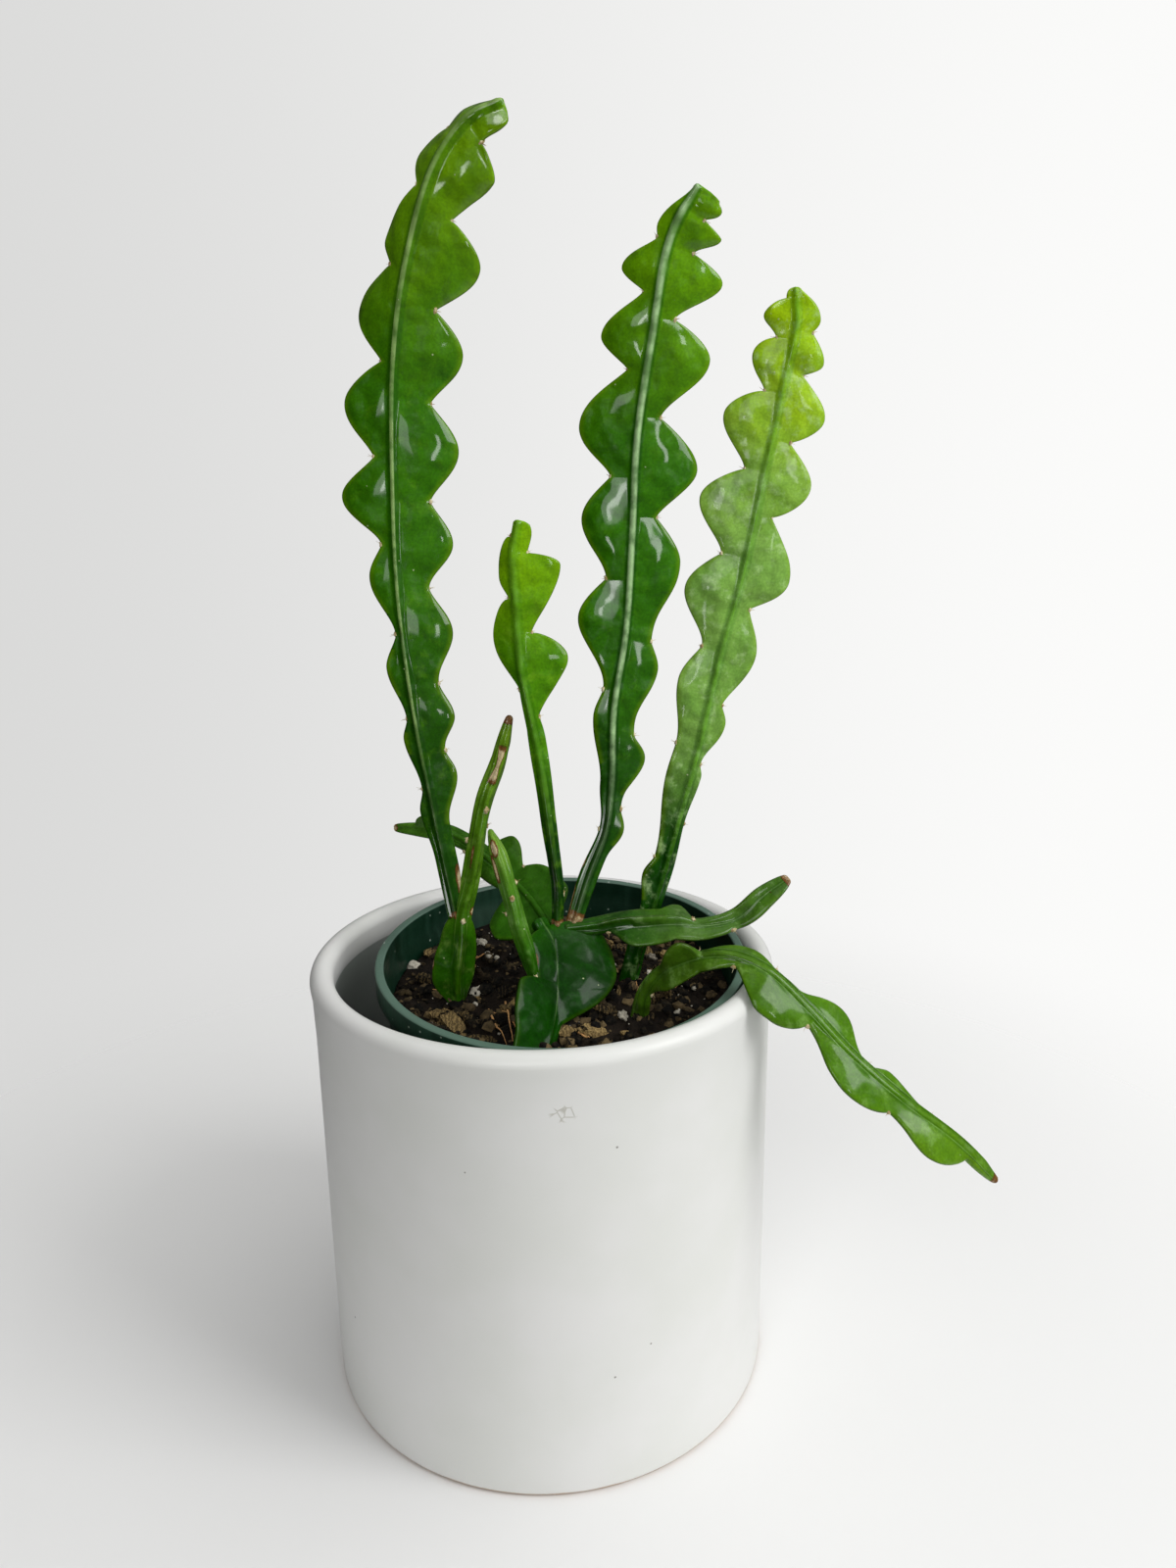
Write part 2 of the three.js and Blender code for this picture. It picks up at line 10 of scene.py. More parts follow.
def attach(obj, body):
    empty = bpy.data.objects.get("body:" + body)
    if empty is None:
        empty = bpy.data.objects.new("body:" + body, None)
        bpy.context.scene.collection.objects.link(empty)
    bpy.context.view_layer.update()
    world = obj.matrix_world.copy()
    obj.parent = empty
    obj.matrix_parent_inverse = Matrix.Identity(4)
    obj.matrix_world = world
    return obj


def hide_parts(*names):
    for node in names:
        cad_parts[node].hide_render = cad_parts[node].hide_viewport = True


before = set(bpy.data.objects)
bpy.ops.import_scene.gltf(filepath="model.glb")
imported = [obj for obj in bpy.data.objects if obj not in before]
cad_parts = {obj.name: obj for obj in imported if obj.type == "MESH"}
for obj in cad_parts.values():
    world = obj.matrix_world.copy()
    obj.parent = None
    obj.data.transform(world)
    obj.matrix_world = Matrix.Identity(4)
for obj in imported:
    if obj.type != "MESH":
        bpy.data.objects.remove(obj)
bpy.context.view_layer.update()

MM = 0.001

# Cover pot, in millimetres
COVER_HEIGHT = 135.5
COVER_FOOT_RADIUS = 69.0
COVER_BODY_RADIUS = 69.5
COVER_LIP_RADIUS = 70.0
COVER_LIP_THICKNESS = 7.0
COVER_WALL = 5.2
COVER_FLOOR = 9.0
COVER_STEPS = 160

# Grow pot, in millimetres from the plane of its rim
GROW_RIM_RADIUS = 56.0
GROW_RIM_HEIGHT = 7.0
GROW_RIM_WIDTH = 2.7
GROW_RIM_ROUND = 0.6
GROW_WALL = 1.4
GROW_TOP_RADIUS = 53.9
GROW_BASE_RADIUS = 42.0
GROW_DEPTH = 123.4
GROW_RIM_CENTRE = (5.6, -3.6, 135.5)
GROW_TILT_DEG = 4.5
GROW_STEPS = 160
DRAIN_HOLES = 4
DRAIN_HOLE_RADIUS = 4.5
DRAIN_RING_RADIUS = 29.0

# Soil
SOIL_BELOW_RIM = 13.0
SOIL_CELLS = 170
SOIL_CLEARANCE = 0.4
CRUMB_COUNT = 1700
PERLITE_COUNT = 240
CHIP_COUNT = 150
ROOTLET_COUNT = 34

# Stems, in millimetres
ROOT_DEPTH = 12.0
EDGE_HALF = 0.55
RIB_HEIGHT = 1.9
TIP_TAPER = 7.0
TIP_SHARE = 0.55
STATION_STEP = 0.9
REACH_STEP = 0.7
BLADE_CUTS = 5
MARGIN_WIDTH = 3.5
BLUNT_REACH = 6.0
SOFT_REACH = 3.6
LOBE_BULGE = 1.5
RIB_HALF_WIDTH = 1.2
# A scar wider than this to each side goes all round its stem, and its cork stays darker
ROUND_SCAR_WIDTH = 2.5
ROUND_SCAR_DEPTH = 0.55


def srgb(red, green, blue):
    """A colour given as 0 to 255, as Blender's linear numbers."""
    def linear(value):
        value /= 255
        return value / 12.92 if value <= 0.04045 else ((value + 0.055) / 1.055) ** 2.4
    return (linear(red), linear(green), linear(blue), 1.0)


# A path runs along the middle of a stem. A wing stands out from it at an angle, in degrees from
# the stem's right-hand side towards its face, given from base to tip. Its edge lists distance along
# the stem and reach from the middle: a bud's notch, a lobe's widest point, the next notch and so on.
# A scar lists distance along, angle, distance out, half length and half width. Lower and upper are
# powers that shape a lobe's two sides, from base to tip: under 1 full, over 1 hollow. Flesh is the
# half thickness at the midrib, cup how far the blades bend back, and soft how often the ridges are
# smoothed. Skin holds the colours of foot, middle and tip.
# Rib is the colour of the pale stripe along the midrib: partly the midrib's own colour, partly a painted
# highlight along the ridge.
STEMS = {
    # centre_stem's dark foot and middle colours are partly its own deep green and partly painted shade,
    # standing in for the shadow it lies in under leaning_stem; its rib colour is partly a painted highlight
    # along the ridge.
    "centre_stem": dict(
        path=[(0, -35, 120), (2, -28, 126), (3, -20, 133), (2, -12, 141), (-1, -8, 147.5)],
        face=(0, -1, 1), rooted=True, slot="stem_old", lower=[1.3], upper=[0.65], soft=5, flesh=2.0,
        skin=((14, 60, 2), (12, 52, 2), (30, 80, 6)), rib=(96, 132, 70),
        gloss=0.2, rib_strength=0.45, rib_width=0.6, bloom=(30, 90, 14), bloom_strength=0.3,
        scars=[(24, 130, 9, 3, 1.2)],
        wings=[
            dict(angle=[-12], edge=[(0, 3), (7, 3.5), (24, 19.5), (30, 18), (37, 3)]),
            dict(angle=[130], edge=[(0, 12.5), (8, 15), (15, 14.5), (19, 8), (34, 10), (37, 3)]),
            dict(angle=[212], edge=[(0, 4), (12, 5), (24, 9), (31, 8), (37, 3)]),
        ]),
    "old_left_stem": dict(
        path=[(-26, -9.5, 122), (-26, -9, 131.5), (-25, -7, 140), (-24, -5, 149), (-21, -3, 159.5),
              (-18.5, -1, 172), (-16, 1, 183), (-12, 3, 193), (-8, 4, 207)],
        face=(0, -1, 0.1), rooted=True, slot="stem_old", lower=[1.3], upper=[0.7], soft=5, flesh=1.7,
        skin=((38, 88, 2), (76, 118, 16), (104, 140, 26)), rib=(128, 160, 70),
        gloss=0.3, rib_strength=0.3, rib_width=0.5, bloom=(126, 156, 70), bloom_strength=0.35,
        scars=[(74, 85, 2.4, 6, 0.7), (47, 110, 2.6, 5, 0.6), (89, 0, 0, 2.5, 4), (12, 190, 7.2, 6, 0.7),
               (29, 325, 3.4, 1.6, 2)],
        wings=[
            dict(angle=[75, 60], edge=[(0, 3), (12, 5), (26, 3), (46, 3.6), (60, 2.8), (74, 3.2), (89, 1)]),
            dict(angle=[190, 185], edge=[(0, 3), (8, 7.5), (18, 6), (27, 3), (44, 3.2), (50, 3), (68, 3),
                                         (76, 2.6), (89, 1)]),
            dict(angle=[325, 310], edge=[(0, 3), (11, 6.5), (19, 6), (26, 4), (40, 3.6), (55, 3),
                                         (66, 3.6), (80, 2.4), (89, 1)]),
        ]),
    "right_stem": dict(
        path=[(27, 0.5, 123), (30, 2, 134.5), (34.5, 4, 147), (38.5, 6, 159), (42.5, 8, 172.5),
              (48, 10, 191), (55, 12, 221), (62, 13, 247), (68.5, 14, 278), (73, 13, 301.5),
              (75.5, 12, 315), (74.5, 10, 324.5)],
        face=(0, -1, 0.1), rooted=True, slot="stem_pale", cup=0.8, flesh=1.1,
        skin=((20, 70, 2), (122, 166, 72), (156, 194, 8)), rib=(96, 156, 30),
        gloss=0.3, rib_strength=0.55, rib_width=0.75, bloom=(176, 208, 142), bloom_strength=0.5,
        scars=[(121, 0, 14.5, 1.2, 1.4)],
        wings=[
            dict(angle=[-40, -30, -10, 0, 0, 0], lower=[1.8, 2.2, 1.2, 0.7, 1.2], upper=[1.4, 1.1],
                 edge=[(0, 3.5), (36, 3.5), (52, 2.6), (67, 3.6), (71, 2), (84, 7), (90, 4.5), (106, 11),
                       (120, 5), (130, 14.5), (147, 5), (157, 14.5), (168.5, 5.5), (176, 14), (187, 5),
                       (191, 10), (198, 5), (200.5, 7), (209, 1.5)]),
            dict(angle=[180, 180, 185, 185, 185, 190], lower=[2.6, 2.2, 1.5, 1.3], upper=[1.4, 1.4, 0.9, 0.5],
                 edge=[(0, 3.5), (22, 3.5), (34, 6), (40, 4), (67, 7.5), (76, 7), (95, 10.5), (106, 6),
                       (122, 15.5), (134, 7.5), (149, 17), (159, 6), (173, 15), (181, 5), (190, 10.5),
                       (195.5, 5), (203, 9), (207, 2.5), (209, 1.5)]),
        ]),
    "trailing_stem": dict(
        path=[(28, -20, 121), (29.5, -22, 129), (33.5, -24, 136), (42, -27, 141.5), (52, -31, 144),
              (62, -35, 141), (73, -39, 131), (84, -42, 119), (99, -45, 105.5), (116, -46, 91.5),
              (127.5, -46, 79)],
        face=(0, -0.7, 1), rooted=True, slot="stem_mid", lower=[1.4], upper=[0.75], soft=5, flesh=1.7,
        skin=((64, 98, 18), (72, 118, 4), (96, 138, 14)), rib=(140, 178, 104),
        gloss=0.45, rib_strength=0.5, rib_width=0.7, bloom=(140, 178, 96), bloom_strength=0.3,
        scars=[(141, 0, 0, 2, 3)],
        wings=[
            dict(angle=[0], lower=[1.3, 1.3, 2.2, 1.6],
                 edge=[(0, 3), (10, 2.2), (20, 6.5), (30, 5), (41, 3.2), (54, 12), (58, 11.5),
                       (68, 4), (88, 10.5), (100, 6.2), (116, 10.2), (128, 3.2), (141, 1.2)]),
            dict(angle=[100, 90], edge=[(0, 2.5), (18, 2.5), (27, 8.5), (31, 2), (141, 1.2)]),
            dict(angle=[180], upper=[1, 1, 2, 1.5],
                 edge=[(0, 3), (20, 2.5), (30, 2), (44, 4.6), (52, 2.2), (60, 2.6), (74, 8.5),
                       (89, 1.5), (96, 4.6), (113, 1.6), (131, 2.4), (141, 1.2)]),
        ]),
    "back_stem": dict(
        path=[(2, -6, 144.5), (-4, 8, 148.5), (-12, 20, 153), (-21, 30, 157.5), (-31, 38, 161),
              (-41, 44, 161.5), (-49, 48, 161)],
        face=(0, -0.4, 1), slot="stem_old", lower=[1.3], upper=[0.6], soft=5, flesh=1.5,
        skin=((48, 98, 12), (56, 104, 16), (72, 118, 30)), rib=(80, 124, 50),
        gloss=0.2, rib_strength=0.3, rib_width=0.5, bloom=(88, 130, 50), bloom_strength=0.3,
        scars=[(79, 0, 0, 2, 2)],
        wings=[
            dict(angle=[25], edge=[(0, 3), (11, 12), (17, 12), (27, 6), (38, 11.5), (42, 4), (56, 4),
                                   (65, 2.5), (79, 1.5)]),
            dict(angle=[105], edge=[(0, 2.5), (30, 2), (54, 2.5), (64, 7.5), (70, 2.5), (79, 1.5)]),
            dict(angle=[200], edge=[(0, 7), (9, 15.5), (14, 15), (22, 4), (36, 6), (48, 2.5), (64, 3.5),
                                    (79, 1.5)]),
        ]),
    "short_spear": dict(
        path=[(-2.5, -22.5, 135), (-4, -24, 143), (-6.5, -24, 151.5), (-8.5, -22, 160), (-10.5, -20, 168),
              (-14, -16, 178)],
        face=(0, -1, 0.1), slot="stem_mid", lower=[1.2], upper=[0.8], soft=5, flesh=1.6,
        skin=((42, 94, 8), (74, 122, 26), (108, 146, 46)), rib=(134, 166, 96),
        gloss=0.3, rib_strength=0.3, rib_width=0.5, bloom=(126, 160, 90), bloom_strength=0.3,
        scars=[(41, 110, 2.4, 3, 1.5), (36, 150, 2.6, 5, 0.8), (0, 0, 0, 2.5, 3)],
        wings=[
            dict(angle=[80], edge=[(0, 1.6), (14, 3), (26, 2.4), (38, 2.8), (46, 0.8)]),
            dict(angle=[190], edge=[(0, 1.6), (10, 3), (22, 2.6), (34, 3.2), (46, 0.8)]),
            dict(angle=[320], edge=[(0, 1.6), (18, 3.4), (30, 2.8), (38, 3), (46, 0.8)]),
        ]),
    "leaning_stem": dict(
        path=[(7, -7, 144), (15.5, -7, 144), (23, -8, 145), (31, -9, 145.5), (39, -9, 145.5), (49, -8, 144),
              (59, -6, 145), (67, -4, 151), (75, -2, 156)],
        face=(0, -0.7, 1), slot="stem_mid", lower=[1.3], upper=[0.65], soft=5, flesh=1.7,
        skin=((34, 78, 10), (66, 104, 30), (62, 102, 18)), rib=(136, 164, 112),
        gloss=0.5, rib_strength=0.5, rib_width=0.65, bloom=(122, 150, 92), bloom_strength=0.35,
        scars=[(74, 0, 0, 3, 4), (66, 70, 3, 1.2, 0.9)],
        wings=[
            dict(angle=[-10, 20], edge=[(0, 2.5), (13, 2), (22, 7.5), (32, 6), (50, 3.5), (61, 5),
                                        (72, 2.2)]),
            dict(angle=[80, 130], edge=[(0, 2.5), (20, 4.5), (38, 2.6), (55, 4.5), (72, 2.2)]),
            dict(angle=[180, 220], edge=[(0, 3), (29, 6.5), (35, 9.5), (39, 4), (52, 6), (60, 4),
                                         (72, 2.2)]),
        ]),
    "middle_stem": dict(
        path=[(9, -6, 144), (14.5, -2, 159), (20, 1, 173), (22, 4, 186), (23, 7, 207.5), (27, 10, 231),
              (29, 11, 258), (30.5, 11, 285), (34.5, 8, 312), (39, 4, 336), (45.5, 0, 348)],
        face=(0, -1, 0.1), slot="stem_mid", lower=[2.8, 2.2, 1.7, 1.3, 1.1],
        upper=[1.5, 1.4, 1.1, 0.9, 0.8], cup=1.0, flesh=1.0,
        skin=((26, 74, 1), (46, 104, 1), (104, 158, 1)), rib=(158, 192, 136),
        gloss=0.6, rib_strength=1.0, rib_width=0.5, bloom=(72, 128, 10), bloom_strength=0.35,
        scars=[(0, 200, 1.0, 6, 3.4), (9, 190, 2.6, 7, 1.0), (20, 180, 3, 4, 0.6)],
        wings=[
            dict(angle=[0, -5, -5, -5, -5, 0], lower=[2.8, 2.8, 2.6, 1.4, 1.6, 1.2],
                 edge=[(0, 2.5), (22, 3), (32, 5.5), (38, 3.5), (53, 10), (60, 6.5), (81, 11.5), (89, 8),
                       (111, 15), (124, 7), (138, 18.5), (152, 6), (169, 17.5), (178, 5.5), (189, 17),
                       (196, 7), (204, 12.5), (206, 6), (209.5, 9), (211, 7)]),
            dict(angle=[180, 185, 185, 188, 195, 215], upper=[1.5, 1.6, 1.0, 1.1, 1.4],
                 edge=[(0, 2.5), (15, 3), (31, 2), (45, 3.5), (65, 6), (73, 4), (94, 14.5), (106, 7),
                       (123, 15), (135, 7), (147.5, 17), (163.5, 5.5), (171, 14.5), (184, 4.5), (189, 12),
                       (197, 4), (200, 5.5), (211, 1)]),
        ]),
    "young_middle_stem": dict(
        path=[(4.5, -7, 145), (5, -6, 157), (3.5, -4, 170), (1.5, -2, 187.5), (-1, 0, 203.5),
              (-4, 1, 220.5), (-5, 2, 238.5), (-5.5, 2, 254), (-4, 1, 263)],
        face=(0, -1, 0.1), slot="stem_young", lower=[1.3], upper=[0.8, 0.8, 0.35], flesh=1.0,
        skin=((10, 58, 1), (70, 126, 1), (118, 168, 2)), rib=(96, 148, 40),
        gloss=0.4, rib_strength=0.5, rib_width=0.6, bloom=(120, 168, 30), bloom_strength=0.35,
        scars=[(0, 0, 0, 2.5, 3.4), (8, 330, 2.2, 8, 0.6)],
        wings=[
            dict(angle=[-30, -30, -10, -5],
                 edge=[(0, 2), (10, 1.8), (33, 2.5), (56, 3.3), (63, 2.5), (80, 14), (88, 4), (107, 13.5),
                       (111, 4), (116, 4.5), (120, 1.5)]),
            dict(angle=[210, 210, 205, 215],
                 edge=[(0, 1.8), (22, 2.2), (34, 2.6), (48, 2.6), (60, 2), (72, 1.6), (87, 8), (98, 2.2),
                       (104, 5), (115, 1.4), (120, 1.4)]),
        ]),
    "tall_left_stem": dict(
        path=[(-25.5, -5, 148), (-30.5, -1, 176), (-36, 3, 211), (-39, 7, 243), (-39, 9, 273), (-37, 9, 305),
              (-31.5, 6, 331), (-23, 1, 352), (-14, -3, 362), (-5, -6, 366)],
        face=(0, -1, 0.1), slot="stem_mid", lower=[2.4, 2.2, 1.8, 1.3, 1.0, 0.9],
        upper=[1.8, 1.6, 1.3, 0.9, 0.5], cup=1.0, flesh=1.0,
        skin=((28, 74, 1), (50, 106, 1), (108, 154, 1)), rib=(146, 176, 104),
        gloss=0.6, rib_strength=0.75, rib_width=0.86, bloom=(80, 130, 10), bloom_strength=0.35,
        scars=[(10, 0, 3.4, 6, 1.3), (1, 20, 2.5, 1.6, 2.6)],
        wings=[
            dict(angle=[0, -5, -5, -8, -5, 0],
                 edge=[(0, 2.5), (15, 4), (28, 4), (43, 9), (50, 7), (60, 11.5), (70, 8.5), (85, 14.5),
                       (98, 9), (111, 16.5), (123, 10.5), (137, 18.5), (150, 10.5), (164, 18.5),
                       (175.5, 9.5), (189, 19), (199.5, 8.5), (217, 14.5), (223.5, 6), (229, 6), (233, 5)]),
            dict(angle=[180, 185, 185, 188, 215, 240],
                 edge=[(0, 2.5), (18, 2.5), (33, 4), (40, 2), (55, 4.5), (61, 2.5), (76, 6), (85.5, 2),
                       (102, 8), (111, 4), (124, 15), (135, 5.5), (149, 14), (160, 4), (172, 13.5),
                       (184, 6), (189, 10), (204, 4.5), (210, 10), (218, 7), (224, 9), (233, 1.5)]),
        ]),
}


# Camera, set to the photograph's point of view
CAMERA_PLACE = (0.0, -0.3201, 0.2699)
CAMERA_PITCH_DEG = 14.50
CAMERA_YAW_DEG = 2.63
CAMERA_ROLL_DEG = 0.78
CAMERA_LENS_MM = 25.60
SENSOR_MM = 36.0
CAMERA_CLIP_START = 0.01


def make_camera():
    data = bpy.data.cameras.new("camera")
    data.lens = CAMERA_LENS_MM
    data.sensor_width = SENSOR_MM
    data.clip_start = CAMERA_CLIP_START
    camera = bpy.data.objects.new("camera", data)
    bpy.context.scene.collection.objects.link(camera)
    turn = (
        Matrix.Rotation(math.radians(-CAMERA_YAW_DEG), 4, "Z")
        @ Matrix.Rotation(math.radians(90 - CAMERA_PITCH_DEG), 4, "X")
        @ Matrix.Rotation(math.radians(-CAMERA_ROLL_DEG), 4, "Z")
    )
    camera.matrix_world = Matrix.Translation(CAMERA_PLACE) @ turn
    bpy.context.scene.camera = camera


make_camera()


# Node helpers
def node(tree, kind, inputs=None, **settings):
    made = tree.nodes.new(kind)
    for name, value in settings.items():
        setattr(made, name, value)
    for name, value in (inputs or {}).items():
        if isinstance(value, bpy.types.NodeSocket):
            tree.links.new(value, made.inputs[name])
        else:
            made.inputs[name].default_value = value
    return made


def maths(tree, operation, first, second=0.5, clamp=False):
    made = node(tree, "ShaderNodeMath", {0: first, 1: second}, operation=operation, use_clamp=clamp)
    return made.outputs[0]


def blend_colour(tree, share, first, second, mode="MIX"):
    made = node(tree, "ShaderNodeMix", {0: share, 6: first, 7: second}, data_type="RGBA", blend_type=mode)
    return made.outputs[2]


def stretch(tree, value, low, high, to_low=0.0, to_high=1.0):
    made = node(tree, "ShaderNodeMapRange",
                {"Value": value, "From Min": low, "From Max": high, "To Min": to_low, "To Max": to_high},
                interpolation_type="SMOOTHSTEP")
    return made.outputs[0]


def speckle(tree, place, scale, size):
    """Small round dots, each in about one cell of the pattern in three."""
    cells = node(tree, "ShaderNodeTexVoronoi", {"Vector": place, "Scale": scale, "Randomness": 1.0})
    dot = stretch(tree, cells.outputs["Distance"], size, size * 0.6)
    pick = node(tree, "ShaderNodeSeparateColor", {0: cells.outputs["Color"]}).outputs[0]
    return maths(tree, "MULTIPLY", dot, stretch(tree, pick, 0.62, 0.72))


def grain(tree, place, scale, detail=4.0, rough=0.55):
    made = node(tree, "ShaderNodeTexNoise",
                {"Vector": place, "Scale": scale, "Detail": detail, "Roughness": rough})
    return made.outputs[0]


def new_group(name, inputs, outputs):
    group = bpy.data.node_groups.new(name, "ShaderNodeTree")
    for label, kind, value in inputs:
        socket = group.interface.new_socket(label, in_out="INPUT", socket_type=kind)
        socket.default_value = value
    for label, kind in outputs:
        group.interface.new_socket(label, in_out="OUTPUT", socket_type=kind)
    return group, group.nodes.new("NodeGroupInput"), group.nodes.new("NodeGroupOutput")


def use_group(tree, group, values):
    made = tree.nodes.new("ShaderNodeGroup")
    made.node_tree = group
    for label, value in values.items():
        if isinstance(value, bpy.types.NodeSocket):
            tree.links.new(value, made.inputs[label])
        else:
            made.inputs[label].default_value = value
    return made


def new_material(name, **constants):
    material = bpy.data.materials.new(name)
    material.use_nodes = True
    tree = material.node_tree
    shader = tree.nodes["Principled BSDF"]
    for label, value in constants.items():
        shader.inputs[label.replace("_", " ")].default_value = value
    return material, tree, shader


def object_place(tree):
    return node(tree, "ShaderNodeTexCoord").outputs["Object"]


def scaled(tree, vector, factors):
    return node(tree, "ShaderNodeVectorMath", {0: vector, 1: factors}, operation="MULTIPLY").outputs[0]


def length_of(tree, vector):
    return node(tree, "ShaderNodeVectorMath", {0: vector}, operation="LENGTH").outputs["Value"]


def add_bump(tree, shader, height, strength, distance):
    bump = node(tree, "ShaderNodeBump", {"Height": height, "Strength": strength, "Distance": distance})
    tree.links.new(bump.outputs[0], shader.inputs["Normal"])


# Materials
FLOAT = "NodeSocketFloat"
COLOUR = "NodeSocketColor"


def make_plant_skin():
    """Cactus skin: age along the stem, a pale rib that is partly painted highlight, painted shade in the
    grooves beside it, yellowing margin, blotches, specks and corky scars.

    The attribute skin holds the share along the stem, the share of the rib and that of the margin.
    """
    grey = (0.5, 0.5, 0.5, 1.0)
    group, given, result = new_group(
        "plant_skin",
        [("Foot", COLOUR, grey), ("Middle", COLOUR, grey), ("Tip", COLOUR, grey), ("Rib", COLOUR, grey),
         ("Bloom", COLOUR, grey), ("Rib Strength", FLOAT, 0.5), ("Rib Width", FLOAT, 0.5),
         ("Bloom Strength", FLOAT, 0.3), ("Margin Strength", FLOAT, 0.5), ("Roughness", FLOAT, 0.3)],
        [("Color", COLOUR), ("Roughness", FLOAT), ("Height", FLOAT)])
    tree = group
    place = object_place(tree)
    skin = node(tree, "ShaderNodeAttribute", attribute_name="skin").outputs["Vector"]
    parts = node(tree, "ShaderNodeSeparateXYZ", {0: skin}).outputs
    along, rib, margin = parts[0], parts[1], parts[2]
    cork_share = node(tree, "ShaderNodeAttribute", attribute_name="cork").outputs["Fac"]

    drift = maths(tree, "MULTIPLY", maths(tree, "SUBTRACT", grain(tree, place, 60.0), 0.5), 0.25)
    age = maths(tree, "ADD", along, drift)
    grown = stretch(tree, age, 0.18, 0.48)
    colour = blend_colour(tree, grown, given.outputs["Foot"], given.outputs["Middle"])
    colour = blend_colour(tree, stretch(tree, age, 0.62, 1.0), colour, given.outputs["Tip"])

    broad = stretch(tree, grain(tree, place, 130.0, 3.0), 0.35, 0.7)
    dark = blend_colour(tree, 1.0, colour, (0.6, 0.72, 0.55, 1.0), "MULTIPLY")
    colour = blend_colour(tree, maths(tree, "MULTIPLY", broad, 0.6), colour, dark)
    bloom = stretch(tree, grain(tree, place, 230.0, 5.0, 0.65), 0.5, 0.72)
    bloom = maths(tree, "MULTIPLY", bloom, given.outputs["Bloom Strength"])
    colour = blend_colour(tree, bloom, colour, given.outputs["Bloom"])
    fine = stretch(tree, grain(tree, place, 1500.0, 2.0), 0.3, 0.7, 0.88, 1.12)
    colour = node(tree, "ShaderNodeVectorMath", {0: colour, 1: fine}, operation="MULTIPLY").outputs[0]

    yellow = blend_colour(tree, 0.5, colour, srgb(120, 160, 4))
    rim = maths(tree, "MULTIPLY", stretch(tree, margin, 0.4, 0.9), given.outputs["Margin Strength"])
    colour = blend_colour(tree, rim, colour, yellow)
    hem = blend_colour(tree, 1.0, colour, (0.42, 0.36, 0.4, 1.0), "MULTIPLY")
    colour = blend_colour(tree, stretch(tree, margin, 0.93, 1.0, 0.0, 0.7), colour, hem)
    # Noise that breaks the rib's pale stripe into pieces, faded out near the base.
    broken = stretch(tree, grain(tree, place, 170.0, 3.0), 0.36, 0.62, 0.35, 1.0)
    broken = maths(tree, "MULTIPLY", broken, stretch(tree, along, 0.12, 0.34, 0.15, 1.0))
    # Painted shade: the grooves to either side of the midrib are darkened.
    groove_shade = maths(tree, "MULTIPLY", stretch(tree, rib, 0.1, 0.4), given.outputs["Rib Strength"])
    shade = blend_colour(tree, 1.0, colour, (0.45, 0.62, 0.4, 1.0), "MULTIPLY")
    colour = blend_colour(tree, groove_shade, colour, shade)
    # The rib's pale stripe: partly the midrib's own paler colour, partly a painted highlight along the ridge.
    ridge = node(tree, "ShaderNodeMapRange",
                 {"Value": rib, "From Min": given.outputs["Rib Width"], "From Max": 1.0},
                 interpolation_type="SMOOTHSTEP").outputs[0]
    ridge = maths(tree, "MULTIPLY", ridge, maths(tree, "MULTIPLY", broken, given.outputs["Rib Strength"]))
    colour = blend_colour(tree, ridge, colour, given.outputs["Rib"])

    specks = speckle(tree, place, 240.0, 0.075)
    colour = blend_colour(tree, maths(tree, "MULTIPLY", specks, 0.6), colour, srgb(196, 206, 160))

    crust = grain(tree, place, 900.0, 5.0, 0.7)
    torn = maths(tree, "ADD", cork_share, maths(tree, "MULTIPLY", maths(tree, "SUBTRACT", crust, 0.5), 0.7))
    cork = stretch(tree, torn, 0.22, 0.34)
    inner = maths(tree, "ADD", torn, maths(tree, "MULTIPLY", grain(tree, place, 420.0), 0.4))
    cork_colour = blend_colour(tree, stretch(tree, inner, 0.66, 1.0), srgb(112, 74, 34), srgb(206, 188, 146))
    colour = blend_colour(tree, cork, colour, cork_colour)

    uneven = stretch(tree, grain(tree, place, 320.0, 4.0), 0.3, 0.7, -0.06, 0.1)
    gloss = maths(tree, "ADD", given.outputs["Roughness"], uneven)
    gloss = maths(tree, "MAXIMUM", gloss, maths(tree, "MULTIPLY", cork, 0.85), clamp=True)
    pucker = grain(tree, place, 105.0, 1.5)
    wrinkle = grain(tree, place, 600.0, 2.0)
    height = maths(tree, "ADD", pucker, maths(tree, "MULTIPLY", wrinkle, 0.025))
    height = maths(tree, "ADD", height, maths(tree, "MULTIPLY", maths(tree, "MULTIPLY", cork, crust), 0.2))
    height = maths(tree, "ADD", height, maths(tree, "MULTIPLY", specks, 0.02))
    tree.links.new(colour, result.inputs["Color"])
    tree.links.new(gloss, result.inputs["Roughness"])
    tree.links.new(height, result.inputs["Height"])
    return group


def make_stem_material(name, stem, skin_group):
    soft = "soft" in stem
    material, tree, shader = new_material(name, Specular_IOR_Level=0.05, Coat_Weight=stem["gloss"],
                                          Coat_Roughness=0.12 if soft else 0.08)
    foot, middle, tip = (srgb(*shade) for shade in stem["skin"])
    look = use_group(tree, skin_group, {
        "Foot": foot, "Middle": middle, "Tip": tip, "Rib": srgb(*stem["rib"]),
        "Rib Strength": stem["rib_strength"], "Rib Width": stem["rib_width"],
        "Bloom": srgb(*stem["bloom"]), "Bloom Strength": stem["bloom_strength"],
        "Margin Strength": 0.12 if soft else 0.55, "Roughness": 0.34 if soft else 0.3,
    })
    tree.links.new(look.outputs["Color"], shader.inputs["Base Color"])
    tree.links.new(look.outputs["Roughness"], shader.inputs["Roughness"])
    add_bump(tree, shader, look.outputs["Height"], 0.9, 0.005)
    return material


